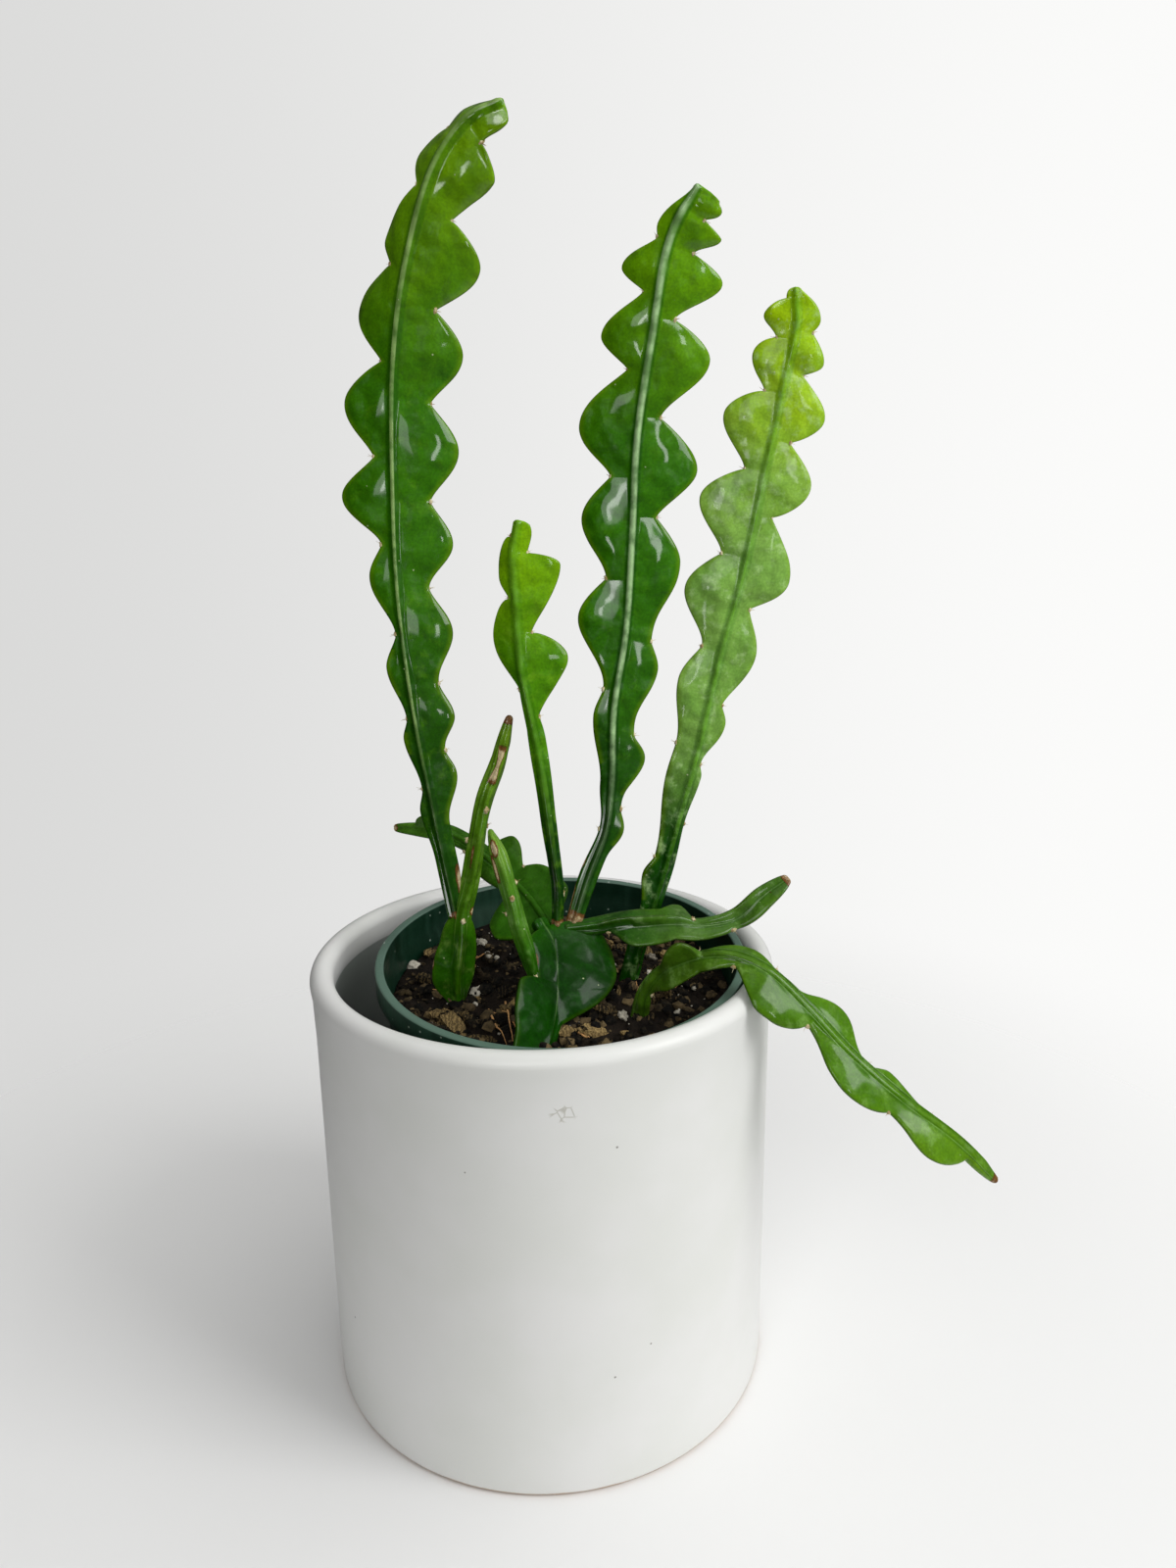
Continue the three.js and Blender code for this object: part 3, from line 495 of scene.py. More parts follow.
def make_areole_material():
    material, tree, shader = new_material("areole_felt", Specular_IOR_Level=0.2)
    place = object_place(tree)
    shade = blend_colour(tree, stretch(tree, grain(tree, place, 700.0), 0.35, 0.65),
                         srgb(214, 206, 168), srgb(146, 124, 78))
    tree.links.new(shade, shader.inputs["Base Color"])
    shader.inputs["Roughness"].default_value = 0.85
    add_bump(tree, shader, grain(tree, place, 3000.0), 0.6, 0.0003)
    return material


SCUFF_PLACE = (0.0042, -0.0694, 0.1193)
# Height in metres where the painted shade on the cover pot's inner wall begins
RECESS_TOP = 0.1268


def make_glaze():
    material, tree, shader = new_material("white_glaze", Specular_IOR_Level=0.35)
    place = object_place(tree)
    cloud = stretch(tree, grain(tree, place, 28.0, 3.0), 0.3, 0.7)
    colour = blend_colour(tree, cloud, srgb(213, 214, 210), srgb(218, 218, 216))
    dots = speckle(tree, place, 105.0, 0.045)
    colour = blend_colour(tree, maths(tree, "MULTIPLY", dots, 0.75), colour, srgb(92, 88, 78))

    offset = node(tree, "ShaderNodeVectorMath", {0: place, 1: SCUFF_PLACE}, operation="SUBTRACT").outputs[0]
    reach = length_of(tree, scaled(tree, offset, (1.0, 1.0, 1.5)))
    veins = node(tree, "ShaderNodeTexVoronoi", {"Vector": place, "Scale": 420.0},
                 feature="DISTANCE_TO_EDGE")
    line = stretch(tree, veins.outputs["Distance"], 0.09, 0.02)
    scuff = maths(tree, "MULTIPLY", line, stretch(tree, reach, 0.0042, 0.0026))
    colour = blend_colour(tree, maths(tree, "MULTIPLY", scuff, 0.55), colour, srgb(150, 146, 130))

    height_above = node(tree, "ShaderNodeSeparateXYZ", {0: place}).outputs[2]
    ragged = maths(tree, "ADD", height_above,
                   maths(tree, "MULTIPLY", maths(tree, "SUBTRACT", grain(tree, place, 90.0), 0.5), 0.0012))
    bare = stretch(tree, ragged, 0.0014, 0.0008)
    colour = blend_colour(tree, bare, colour, srgb(172, 142, 112))
    # Painted shade: the cover pot's inner wall, from just under the lip down to its floor, is given a darker
    # grey that stands in for the shadow in the recess between the two pots.
    radius = length_of(tree, scaled(tree, place, (1.0, 1.0, 0.0)))
    recess_shade = maths(tree, "MULTIPLY", stretch(tree, radius, 0.066, 0.0655),
                   stretch(tree, height_above, RECESS_TOP, RECESS_TOP - 0.0006))
    recess_shade = maths(tree, "MULTIPLY", recess_shade, stretch(tree, height_above, 0.0085, 0.0088))
    colour = blend_colour(tree, recess_shade, colour, srgb(150, 156, 151))
    gloss = stretch(tree, grain(tree, place, 60.0, 4.0), 0.3, 0.7, 0.32, 0.42)
    tree.links.new(colour, shader.inputs["Base Color"])
    gloss = maths(tree, "MAXIMUM", gloss, maths(tree, "MULTIPLY", bare, 0.8))
    tree.links.new(gloss, shader.inputs["Roughness"])
    add_bump(tree, shader, grain(tree, place, 45.0, 3.0), 0.12, 0.001)
    return material


def make_plastic():
    material, tree, shader = new_material("green_plastic", Specular_IOR_Level=0.4)
    place = object_place(tree)
    streaks = node(tree, "ShaderNodeMapping", {"Vector": place, "Scale": (1.0, 1.0, 0.12)}).outputs[0]
    worn = stretch(tree, grain(tree, streaks, 160.0, 5.0), 0.4, 0.7)
    colour = blend_colour(tree, worn, srgb(8, 42, 26), srgb(24, 62, 44))
    # Painted light: the top of the grow pot's rim, marked by the attribute rim, is made lighter, standing in
    # for the light that falls on it from above.
    rim = node(tree, "ShaderNodeAttribute", attribute_name="rim").outputs["Fac"]
    colour = blend_colour(tree, maths(tree, "MULTIPLY", rim, 0.85), colour, srgb(92, 118, 104))
    dust = speckle(tree, place, 330.0, 0.14)
    colour = blend_colour(tree, maths(tree, "MULTIPLY", dust, 0.7), colour, srgb(176, 190, 176))
    tree.links.new(colour, shader.inputs["Base Color"])
    tree.links.new(stretch(tree, worn, 0.0, 1.0, 0.38, 0.55), shader.inputs["Roughness"])
    add_bump(tree, shader, grain(tree, place, 500.0, 3.0), 0.15, 0.0004)
    return material


def make_earth(name, dark, light, scale, rough, bump):
    """Soil, bark and grains: two shades mixed by grain and by each piece's own tone."""
    material, tree, shader = new_material(name, Specular_IOR_Level=0.2)
    place = object_place(tree)
    tone = node(tree, "ShaderNodeAttribute", attribute_name="tone").outputs["Fac"]
    mottle = grain(tree, place, scale, 6.0, 0.65)
    share = maths(tree, "ADD", maths(tree, "MULTIPLY", tone, 0.6), maths(tree, "MULTIPLY", mottle, 0.7))
    colour = blend_colour(tree, stretch(tree, share, 0.3, 0.95), srgb(*dark), srgb(*light))
    tree.links.new(colour, shader.inputs["Base Color"])
    shader.inputs["Roughness"].default_value = rough
    add_bump(tree, shader, grain(tree, place, scale * 2, 5.0), 0.7, bump)
    return material


def make_bark():
    """Bark chips: fibres along the chip, from its own tone and a banded grain."""
    material, tree, shader = new_material("bark", Specular_IOR_Level=0.2)
    place = object_place(tree)
    tone = node(tree, "ShaderNodeAttribute", attribute_name="tone").outputs["Fac"]
    fibre = node(tree, "ShaderNodeTexWave",
                 {"Vector": place, "Scale": 260.0, "Distortion": 9.0, "Detail": 4.0, "Detail Scale": 2.5})
    share = maths(tree, "ADD", maths(tree, "MULTIPLY", tone, 0.85),
                  maths(tree, "MULTIPLY", fibre.outputs["Fac"], 0.3))
    colour = blend_colour(tree, stretch(tree, share, 0.1, 1.1), srgb(14, 10, 6), srgb(168, 142, 92))
    tree.links.new(colour, shader.inputs["Base Color"])
    shader.inputs["Roughness"].default_value = 0.85
    add_bump(tree, shader, fibre.outputs["Fac"], 0.7, 0.0006)
    return material


# Mesh helpers
def finish_piece(name, mesh_maker, material, smooth=True, replaced=None):
    """Turns a bmesh into a piece of the object: at the origin, riding on the root body."""
    mesh = bpy.data.meshes.new(name)
    mesh_maker.to_mesh(mesh)
    mesh_maker.free()
    mesh.materials.append(material)
    mesh.shade_smooth() if smooth else mesh.shade_flat()
    piece = bpy.data.objects.new(name, mesh)
    bpy.context.scene.collection.objects.link(piece)
    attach(piece, "root")
    if replaced:
        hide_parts(replaced)
    return piece


def arc(centre_radius, centre_height, radius, from_deg, to_deg, steps):
    turns = [math.radians(from_deg + (to_deg - from_deg) * i / steps) for i in range(steps + 1)]
    return [(centre_radius + radius * math.cos(a), centre_height + radius * math.sin(a)) for a in turns]


def revolve(profile, steps):
    """Spins a profile of radius and height, in millimetres, once round the upright axis."""
    bm = bmesh.new()
    verts = [bm.verts.new((radius * MM, 0.0, height * MM)) for radius, height in profile]
    edges = [bm.edges.new(pair) for pair in zip(verts, verts[1:])]
    bmesh.ops.spin(bm, geom=verts + edges, cent=(0, 0, 0), axis=(0, 0, 1), angle=2 * math.pi,
                   steps=steps, use_merge=True)
    bmesh.ops.remove_doubles(bm, verts=bm.verts[:], dist=1e-6)
    bmesh.ops.recalc_face_normals(bm, faces=bm.faces[:])
    return bm


def even_steps(low, high, count):
    return [low + (high - low) * i / count for i in range(1, count)]


# Cover pot
def make_cover_pot(material):
    roll = COVER_LIP_THICKNESS / 2
    lip_middle = COVER_LIP_RADIUS - roll
    lip_level = COVER_HEIGHT - roll
    inner = COVER_BODY_RADIUS - COVER_WALL
    foot_round = 1.8
    floor_round = 7.0
    floor_radius = inner - 1.5
    profile = [(0, 0), (30, 0), (60, 0)]
    profile += arc(COVER_FOOT_RADIUS - foot_round, foot_round, foot_round, -90, 0, 8)
    profile += [(COVER_BODY_RADIUS - 0.3, height) for height in even_steps(3, lip_level - 6, 12)]
    profile += [(COVER_BODY_RADIUS, lip_level - 4), (COVER_BODY_RADIUS + 0.25, lip_level - 2)]
    profile += arc(lip_middle, lip_level, roll, 0, 180, 22)
    profile += [(lip_middle - roll + 0.1, lip_level - 3), (lip_middle - roll + 0.2, lip_level - 5)]
    profile += [(inner, lip_level - 9)]
    profile += [(inner - 0.1, height) for height in even_steps(lip_level - 12, 20, 8)]
    profile += arc(floor_radius - floor_round, COVER_FLOOR + floor_round, floor_round, 0, -90, 10)
    profile += [(30, COVER_FLOOR), (0, COVER_FLOOR)]
    finish_piece("cover_pot", revolve(profile, COVER_STEPS), material, replaced="outer_pot")


# Grow pot
def grow_place():
    tilt = Matrix.Rotation(math.radians(GROW_TILT_DEG), 4, "X")
    return Matrix.Translation(Vector(GROW_RIM_CENTRE) * MM) @ tilt


def grow_wall_radius(depth):
    taper = (GROW_TOP_RADIUS - GROW_BASE_RADIUS) / (GROW_DEPTH - GROW_RIM_HEIGHT)
    return GROW_TOP_RADIUS - taper * (depth - GROW_RIM_HEIGHT)


def make_grow_pot(material):
    inner_rim = GROW_RIM_RADIUS - GROW_RIM_WIDTH
    floor = GROW_WALL - GROW_DEPTH
    wall_depths = even_steps(GROW_DEPTH - 3, GROW_RIM_HEIGHT, 8)
    profile = [(0, -GROW_DEPTH), (20, -GROW_DEPTH), (GROW_BASE_RADIUS - 2, -GROW_DEPTH)]
    profile += arc(GROW_BASE_RADIUS - 2, 2 - GROW_DEPTH, 2, -60, 0, 3)
    profile += [(grow_wall_radius(depth), -depth) for depth in wall_depths]
    profile += [(GROW_TOP_RADIUS, -GROW_RIM_HEIGHT - 0.2), (GROW_TOP_RADIUS + 0.2, -GROW_RIM_HEIGHT)]
    profile += [(GROW_RIM_RADIUS - 0.3, -GROW_RIM_HEIGHT), (GROW_RIM_RADIUS, 0.3 - GROW_RIM_HEIGHT)]
    profile += [(GROW_RIM_RADIUS, -3.5)]
    profile += arc(GROW_RIM_RADIUS - GROW_RIM_ROUND, -GROW_RIM_ROUND, GROW_RIM_ROUND, 0, 90, 5)
    profile += arc(inner_rim + GROW_RIM_ROUND, -GROW_RIM_ROUND, GROW_RIM_ROUND, 90, 180, 5)
    profile += [(inner_rim, -3.5), (inner_rim - 0.1, -GROW_RIM_HEIGHT)]
    profile += [(grow_wall_radius(depth) - GROW_WALL, -depth) for depth in (GROW_RIM_HEIGHT + 2, 20, 60, 100)]
    profile += [(GROW_BASE_RADIUS - GROW_WALL, floor + 1), (GROW_BASE_RADIUS - GROW_WALL - 1, floor)]
    profile += [(20, floor), (0, floor)]
    bm = revolve(profile, GROW_STEPS)
    # The attribute rim marks the top of the rim, where the plastic paints in the light falling from above.
    rim = bm.verts.layers.float.new("rim")
    for vert in bm.verts:
        vert[rim] = 1.0 if vert.co.z > -0.6 * GROW_RIM_ROUND * MM else 0.0
    pot = finish_piece("grow_pot", bm, material, replaced="nursery_pot")

    drill = bmesh.new()
    for i in range(DRAIN_HOLES):
        turn = 2 * math.pi * i / DRAIN_HOLES
        at = Vector((math.cos(turn), math.sin(turn), 0)) * DRAIN_RING_RADIUS
        at.z = floor - GROW_WALL / 2
        bmesh.ops.create_cone(drill, cap_ends=True, segments=32, radius1=DRAIN_HOLE_RADIUS * MM,
                              radius2=DRAIN_HOLE_RADIUS * MM, depth=4 * GROW_WALL * MM,
                              matrix=Matrix.Translation(at * MM))
    drill_mesh = bpy.data.meshes.new("drain_drill")
    drill.to_mesh(drill_mesh)
    drill.free()
    drill_object = bpy.data.objects.new("drain_drill", drill_mesh)
    bpy.context.scene.collection.objects.link(drill_object)
    cut = pot.modifiers.new("drain", "BOOLEAN")
    cut.operation = "DIFFERENCE"
    cut.object = drill_object
    depsgraph = bpy.context.evaluated_depsgraph_get()
    drilled = bpy.data.meshes.new_from_object(pot.evaluated_get(depsgraph))
    pot.modifiers.clear()
    pot.data = drilled
    bpy.data.objects.remove(drill_object)
    pot.data.transform(grow_place())


# Soil
def soil_waves(x, y):
    """Height of the soil's rough top, in millimetres, over a point of the grow pot."""
    swell = math.sin(0.31 * x + 1.1) * math.cos(0.27 * y) + 0.6 * math.sin(0.63 * y + 0.41 * x)
    lumps = noise.fractal(Vector((x, y, 3.1)) * 0.19, 0.7, 2.1, 5)
    crumbs = noise.noise(Vector((x, y, 9.7)) * 1.1)
    return 1.1 * swell + 1.5 * lumps + 0.35 * crumbs


def make_soil(material):
    bm = bmesh.new()
    bmesh.ops.create_grid(bm, x_segments=SOIL_CELLS, y_segments=SOIL_CELLS, size=1.0)
    outline = [edge for edge in bm.edges if edge.is_boundary]
    wall = grow_wall_radius(SOIL_BELOW_RIM) - GROW_WALL - SOIL_CLEARANCE
    floor_wall = GROW_BASE_RADIUS - GROW_WALL - SOIL_CLEARANCE - 1.5
    skirt = bmesh.ops.extrude_edge_only(bm, edges=outline)["geom"]
    low = {item for item in skirt if isinstance(item, bmesh.types.BMVert)}
    tone = bm.verts.layers.float.new("tone")
    for vert in bm.verts:
        u, v = vert.co.x, vert.co.y
        disc = (u * math.sqrt(1 - v * v / 2), v * math.sqrt(1 - u * u / 2))
        if vert in low:
            vert.co = Vector((disc[0] * floor_wall, disc[1] * floor_wall, GROW_WALL + 0.3 - GROW_DEPTH)) * MM
            continue
        x, y = disc[0] * wall, disc[1] * wall
        rim_calm = min(1.0, (1.0 - math.hypot(*disc)) * 14)
        vert.co = Vector((x, y, -SOIL_BELOW_RIM + soil_waves(x, y) * (0.4 + 0.6 * rim_calm))) * MM
        vert[tone] = 0.5 + 0.5 * noise.noise(Vector((x, y, 0)) * 0.3)
    base = [edge for edge in bm.edges if edge.is_boundary]
    bmesh.ops.edgeloop_fill(bm, edges=base)
    bmesh.ops.recalc_face_normals(bm, faces=bm.faces[:])
    bm.transform(grow_place())
    finish_piece("potting_soil", bm, material, replaced="soil")


def soil_point(x, y, raise_by=0.0):
    """A place on the soil, given in millimetres from the grow pot's middle."""
    return grow_place() @ (Vector((x, y, -SOIL_BELOW_RIM + soil_waves(x, y) + raise_by)) * MM)


def scattered(rand, radius):
    reach = radius * math.sqrt(rand.random())
    turn = 2 * math.pi * rand.random()
    return reach * math.cos(turn), reach * math.sin(turn)


def add_lump(bm, tone, place, size, turn, roughness, seed, shade, detail=2):
    """A rough grain: an icosphere stretched to size, in millimetres, and pushed about by noise."""
    made = bmesh.ops.create_icosphere(bm, subdivisions=detail, radius=1.0)["verts"]
    for vert in made:
        push = 1 + roughness * noise.noise(vert.co * 1.7 + Vector((seed, 0, 0)))
        push += 0.5 * roughness * noise.noise(vert.co * 4.1 + Vector((0, seed, 0)))
        vert.co = Vector((vert.co.x * size[0], vert.co.y * size[1], vert.co.z * size[2])) * push * MM
        vert[tone] = shade
    bmesh.ops.transform(bm, matrix=Matrix.Translation(place) @ turn, verts=made)


def random_turn(rand, tip_share=1.0):
    spin = Matrix.Rotation(2 * math.pi * rand.random(), 4, "Z")
    tip = Matrix.Rotation(tip_share * (rand.random() - 0.5), 4, "X")
    return spin @ tip @ Matrix.Rotation(tip_share * (rand.random() - 0.5), 4, "Y")


def make_crumbs(material):
    rand = random.Random(11)
    bm = bmesh.new()
    tone = bm.verts.layers.float.new("tone")
    for i in range(CRUMB_COUNT):
        x, y = scattered(rand, 49.5)
        size = 0.5 + 1.7 * rand.random() ** 2.5
        shape = (size * (0.8 + 0.6 * rand.random()), size, size * (0.5 + 0.4 * rand.random()))
        place = soil_point(x, y, 0.2 * size)
        add_lump(bm, tone, place, shape, random_turn(rand), 0.7, i, rand.random() ** 3, 1)
    finish_piece("soil_crumbs", bm, material, smooth=False)


def make_perlite(material):
    rand = random.Random(23)
    bm = bmesh.new()
    tone = bm.verts.layers.float.new("tone")
    # Large grains stand where they catch the eye, in millimetres from the grow pot's middle
    chosen = [(-25.9, -2.1, 2.0), (-25.9, 32.5, 1.7), (-47.0, 17.0, 2.0), (29.5, 16.2, 1.5),
              (27.5, 8.5, 1.3), (-23.5, 24.0, 1.2), (-23.0, 19.4, 1.1), (17.6, -19.0, 1.5),
              (-4.0, -29.0, 1.3), (38.0, 20.0, 1.2)]
    for i in range(PERLITE_COUNT):
        if i < len(chosen):
            x, y, size = chosen[i]
        else:
            x, y = scattered(rand, 49)
            size = 0.22 + 0.75 * rand.random() ** 4
        shape = (size * (0.85 + 0.4 * rand.random()), size, size * 0.85)
        add_lump(bm, tone, soil_point(x, y, 0.45 * size), shape, random_turn(rand), 0.6, i + 40,
                 0.2 + 0.8 * rand.random(), 3 if size > 1.2 else 1)
    finish_piece("perlite_grains", bm, material)


def add_chip(bm, tone, place, length, width, thickness, turn, rand, shade):
    """A split chip of bark: a box cut along its length, with ragged ends and sides."""
    older = len(bm.verts)
    made = bmesh.ops.create_cube(bm, size=1.0)["verts"]
    edges = list({edge for vert in made for edge in vert.link_edges})
    bmesh.ops.subdivide_edges(bm, edges=edges, cuts=3, use_grid_fill=True)
    grown = bm.verts[:][older:]
    seed = 100 * rand.random()
    for vert in grown:
        x, y, z = vert.co
        ragged = noise.noise(Vector((3 * y, 3 * z, seed))) * 0.35
        pinch = 1 - 0.55 * (2 * abs(x)) ** 3
        wave = noise.noise(Vector((2.5 * x, 2 * y, seed + 5))) * 0.5
        vert.co = Vector((
            (x + ragged * x) * length,
            (y * pinch + 0.12 * wave) * width,
            (z * pinch + wave * 0.5) * thickness,
        )) * MM
        vert[tone] = shade
    bmesh.ops.transform(bm, matrix=Matrix.Translation(place) @ turn, verts=grown)


def make_bark_chips(material):
    rand = random.Random(5)
    bm = bmesh.new()
    tone = bm.verts.layers.float.new("tone")
    # Chips at the front, in millimetres from the grow pot's middle, with turn, length, width and shade
    chosen = [(-32.5, -18.8, -60, 13, 5, 0.5), (8.5, -25.0, 15, 9, 5.5, 0.75), (-23, -28, 5, 9, 4, 0.25),
              (0.5, -26, 35, 8, 4.5, 0.6), (13, -16, 60, 7, 4, 0.2), (-36.5, -14, 40, 7, 4, 0.45),
              (-41, 8, 20, 8, 4, 0.15), (-42, 26, 70, 9, 3.5, 0.5), (-14, -12, 15, 9, 3, 0.4),
              (28, -8, 20, 8, 4, 0.25), (36, 6, -20, 7, 3.5, 0.3), (22, 24, 10, 9, 4, 0.2)]
    for i in range(CHIP_COUNT):
        if i < len(chosen):
            x, y, turn_deg, length, width, shade = chosen[i]
            turn = Matrix.Rotation(math.radians(turn_deg), 4, "Z") @ Matrix.Rotation(0.25, 4, "Y")
        else:
            x, y = scattered(rand, 46.5)
            length = 2.5 + 5.5 * rand.random() ** 1.5
            width = length * (0.3 + 0.35 * rand.random())
            shade = rand.random() ** 2.4 * 0.8
            turn = random_turn(rand, 1.3)
        add_chip(bm, tone, soil_point(x, y, 0.4), length, width, 1.1 + 0.12 * length, turn, rand, shade)
    bmesh.ops.recalc_face_normals(bm, faces=bm.faces[:])
    finish_piece("bark_chips", bm, material, smooth=False)


def add_thread(bm, tone, points, radius, shade, sides=6):
    """A thin round thread through points, given in metres, tapering to its far end."""
    rings = []
    for i, point in enumerate(points):
        before = points[max(i - 1, 0)]
        after = points[min(i + 1, len(points) - 1)]
        aim = (after - before).to_track_quat("Z", "Y").to_matrix().to_4x4()
        size = radius * MM * (1 - 0.75 * i / (len(points) - 1))
        ring = bmesh.ops.create_circle(bm, segments=sides, radius=size, cap_ends=i in (0, len(points) - 1),
                                       matrix=Matrix.Translation(point) @ aim)["verts"]
        for vert in ring:
            vert[tone] = shade
        rings.append(ring)
    for lower, upper in zip(rings, rings[1:]):
        edges = [bm.edges.get((ring[k], ring[(k + 1) % sides]))
                 for ring in (lower, upper) for k in range(sides)]
        bmesh.ops.bridge_loops(bm, edges=edges)


def make_rootlets(material):
    rand = random.Random(17)
    bm = bmesh.new()
    tone = bm.verts.layers.float.new("tone")
    # Straws at the front of the centre stem: start, end and rise of the far end, in millimetres
    chosen = [((-17.2, -7.5), (-14.6, -30.5), 1.0), ((-21.0, -17.0), (-16.4, -30.6), 0.6),
              ((-15.0, -19), (-12.5, -31.5), 2.0)]
    for i in range(ROOTLET_COUNT):
        if i < len(chosen):
            start, end, rise = chosen[i]
        else:
            start = scattered(rand, 44)
            turn = 2 * math.pi * rand.random()
            length = 3 + 6 * rand.random()
            end = (start[0] + length * math.cos(turn), start[1] + length * math.sin(turn))
            rise = 0.3
        bend = rand.random() - 0.5
        points = []
        for k in range(9):
            t = k / 8
            x = start[0] + (end[0] - start[0]) * t + bend * math.sin(math.pi * t) * 2
            y = start[1] + (end[1] - start[1]) * t + bend * math.sin(2 * math.pi * t)
            points.append(soil_point(x, y, 0.8 + rise * math.sin(math.pi * t)))
        add_thread(bm, tone, points, 0.2 + 0.2 * rand.random(), 0.55 + 0.4 * rand.random())
    bmesh.ops.recalc_face_normals(bm, faces=bm.faces[:])
    finish_piece("dry_rootlets", bm, material)


# Stems
def centripetal(points, per_span=60):
    """A centripetal Catmull-Rom curve through points, closely sampled, with its arc lengths."""
    ends = [2 * points[0] - points[1]] + points + [2 * points[-1] - points[-2]]
    dense = [points[0]]
    for p0, p1, p2, p3 in zip(ends, ends[1:], ends[2:], ends[3:]):
        d0, d1, d2 = ((a - b).length ** 0.5 for a, b in ((p0, p1), (p1, p2), (p2, p3)))
        t1 = ((p1 - p0) / d0 - (p2 - p0) / (d0 + d1) + (p2 - p1) / d1) * d1
        t2 = ((p2 - p1) / d1 - (p3 - p1) / (d1 + d2) + (p3 - p2) / d2) * d1
        for k in range(1, per_span + 1):
            t = k / per_span
            dense.append(p1 + t1 * t + (3 * (p2 - p1) - 2 * t1 - t2) * t * t
                         + (2 * (p1 - p2) + t1 + t2) * t ** 3)
    lengths = [0.0]
    for before, after in zip(dense, dense[1:]):
        lengths.append(lengths[-1] + (after - before).length)
    return dense, lengths


class Spine:
    """The middle line of a stem. Distance along it starts at the base, and a rooted stem goes on below."""

    def __init__(self, stem):
        points = [Vector(point) for point in stem["path"]]
        self.root = ROOT_DEPTH if stem.get("rooted") else 0.0
        if self.root:
            points.insert(0, points[0] + (points[0] - points[1]).normalized() * ROOT_DEPTH)
        self.dense, self.lengths = centripetal(points)
        self.length = self.lengths[-1] - self.root
        self.face = Vector(stem["face"])

    def at(self, s):
        """The middle, the way along, the right-hand side and the face at a distance along."""
        reach = min(max(s + self.root, 0.0), self.lengths[-1])
        i = min(max(bisect.bisect_right(self.lengths, reach), 1), len(self.lengths) - 1)
        share = (reach - self.lengths[i - 1]) / (self.lengths[i] - self.lengths[i - 1])
        middle = self.dense[i - 1].lerp(self.dense[i], share)
        along = self.tangent(i - 1).lerp(self.tangent(i), share).normalized()
        face = (self.face - along * self.face.dot(along)).normalized()
        return middle, along, along.cross(face), face

    def tangent(self, i):
        before, after = max(i - 1, 0), min(i + 1, len(self.dense) - 1)
        return (self.dense[after] - self.dense[before]).normalized()


def smooth_share(t):
    t = min(max(t, 0.0), 1.0)
    return t * t * (3 - 2 * t)


def value_at(values, share):
    if len(values) == 1:
        return values[0]
    place = min(max(share, 0.0), 1.0) * (len(values) - 1)
    i = min(int(place), len(values) - 2)
    return values[i] + (values[i + 1] - values[i]) * smooth_share(place - i)


def edge_reach(stem, wing, s, length):
    """How far a wing's edge stands from the middle: both sides of a lobe swell from a notch."""
    edge = wing["edge"]
    if s <= edge[0][0]:
        return edge[0][1]
    if s >= edge[-1][0]:
        return edge[-1][1]
    i = next(k for k in range(1, len(edge)) if edge[k][0] > s) - 1
    (s0, w0), (s1, w1) = edge[i], edge[i + 1]
    t = (s - s0) / (s1 - s0)
    part = "lower" if w1 > w0 else "upper"
    from_notch = t if w1 > w0 else 1 - t
    power = value_at(wing.get(part) or stem[part], s / length)
    return min(w0, w1) + abs(w1 - w0) * math.sin(math.pi / 2 * from_notch) ** power


def notches(wing):
    """The places along a wing's edge where a bud sits between two lobes."""
    edge = wing["edge"]
    return [edge[i][0] for i in range(1, len(edge) - 1)
            if edge[i][1] < edge[i - 1][1] and edge[i][1] <= edge[i + 1][1]]


def station_marks(stem, spine):
    """Distances along the stem, close together where an edge runs steeply outwards."""
    marks = [-spine.root]
    spent = 0.0
    step = 0.1
    before = [edge_reach(stem, wing, marks[0], spine.length) for wing in stem["wings"]]
    s = marks[0]
    while s < spine.length - 0.3:
        s += step
        now = [edge_reach(stem, wing, s, spine.length) for wing in stem["wings"]]
        climb = max(abs(a - b) for a, b in zip(now, before))
        spent += step / STATION_STEP + climb / REACH_STEP
        before = now
        if spent >= 1:
            marks.append(s)
            spent = 0.0
    if marks[-1] < spine.length - 0.35:
        marks.append(spine.length - 0.3)
    return marks


def blade_profile(reach, flesh, taper):
    """Distances out from the middle and half thicknesses, from the rib's foot to the blade's edge."""
    blunt = 0.5 * (flesh - EDGE_HALF) * max(0.0, 1 - reach / BLUNT_REACH)
    edge_half = (EDGE_HALF + blunt) * taper
    root_half = max(flesh * taper, edge_half)
    inner = [min(1.1, 0.3 * reach), min(2.1, 0.5 * reach)]
    last = reach - min(edge_half, 0.2 * reach)
    outs = inner + [inner[1] + (last - inner[1]) * k / BLADE_CUTS for k in range(1, BLADE_CUTS + 1)]
    profile = [(out, edge_half + (root_half - edge_half) * (1 - out / reach) ** 1.6) for out in outs]
    profile.append((reach - 0.3 * (reach - last), 0.66 * edge_half))
    return profile


def rib_share(lateral):
    """1 on the ridge of the midrib, fading to 0 over a millimetre or two to either side."""
    return math.exp(-((lateral / RIB_HALF_WIDTH) ** 2))


def lobe_swell(wing, s):
    """From 0 at a bud's notch to 1 at the middle of a lobe, stronger on some lobes than on others."""
    marks = [wing["edge"][0][0]] + notches(wing) + [wing["edge"][-1][0]]
    i = min(max(bisect.bisect_right(marks, s), 1), len(marks) - 1)
    share = min(max((s - marks[i - 1]) / (marks[i] - marks[i - 1]), 0.0), 1.0)
    strength = 0.75 + 0.6 * noise.noise(Vector((marks[i], 4.4, 1.9)))
    return strength * math.sin(math.pi * share)


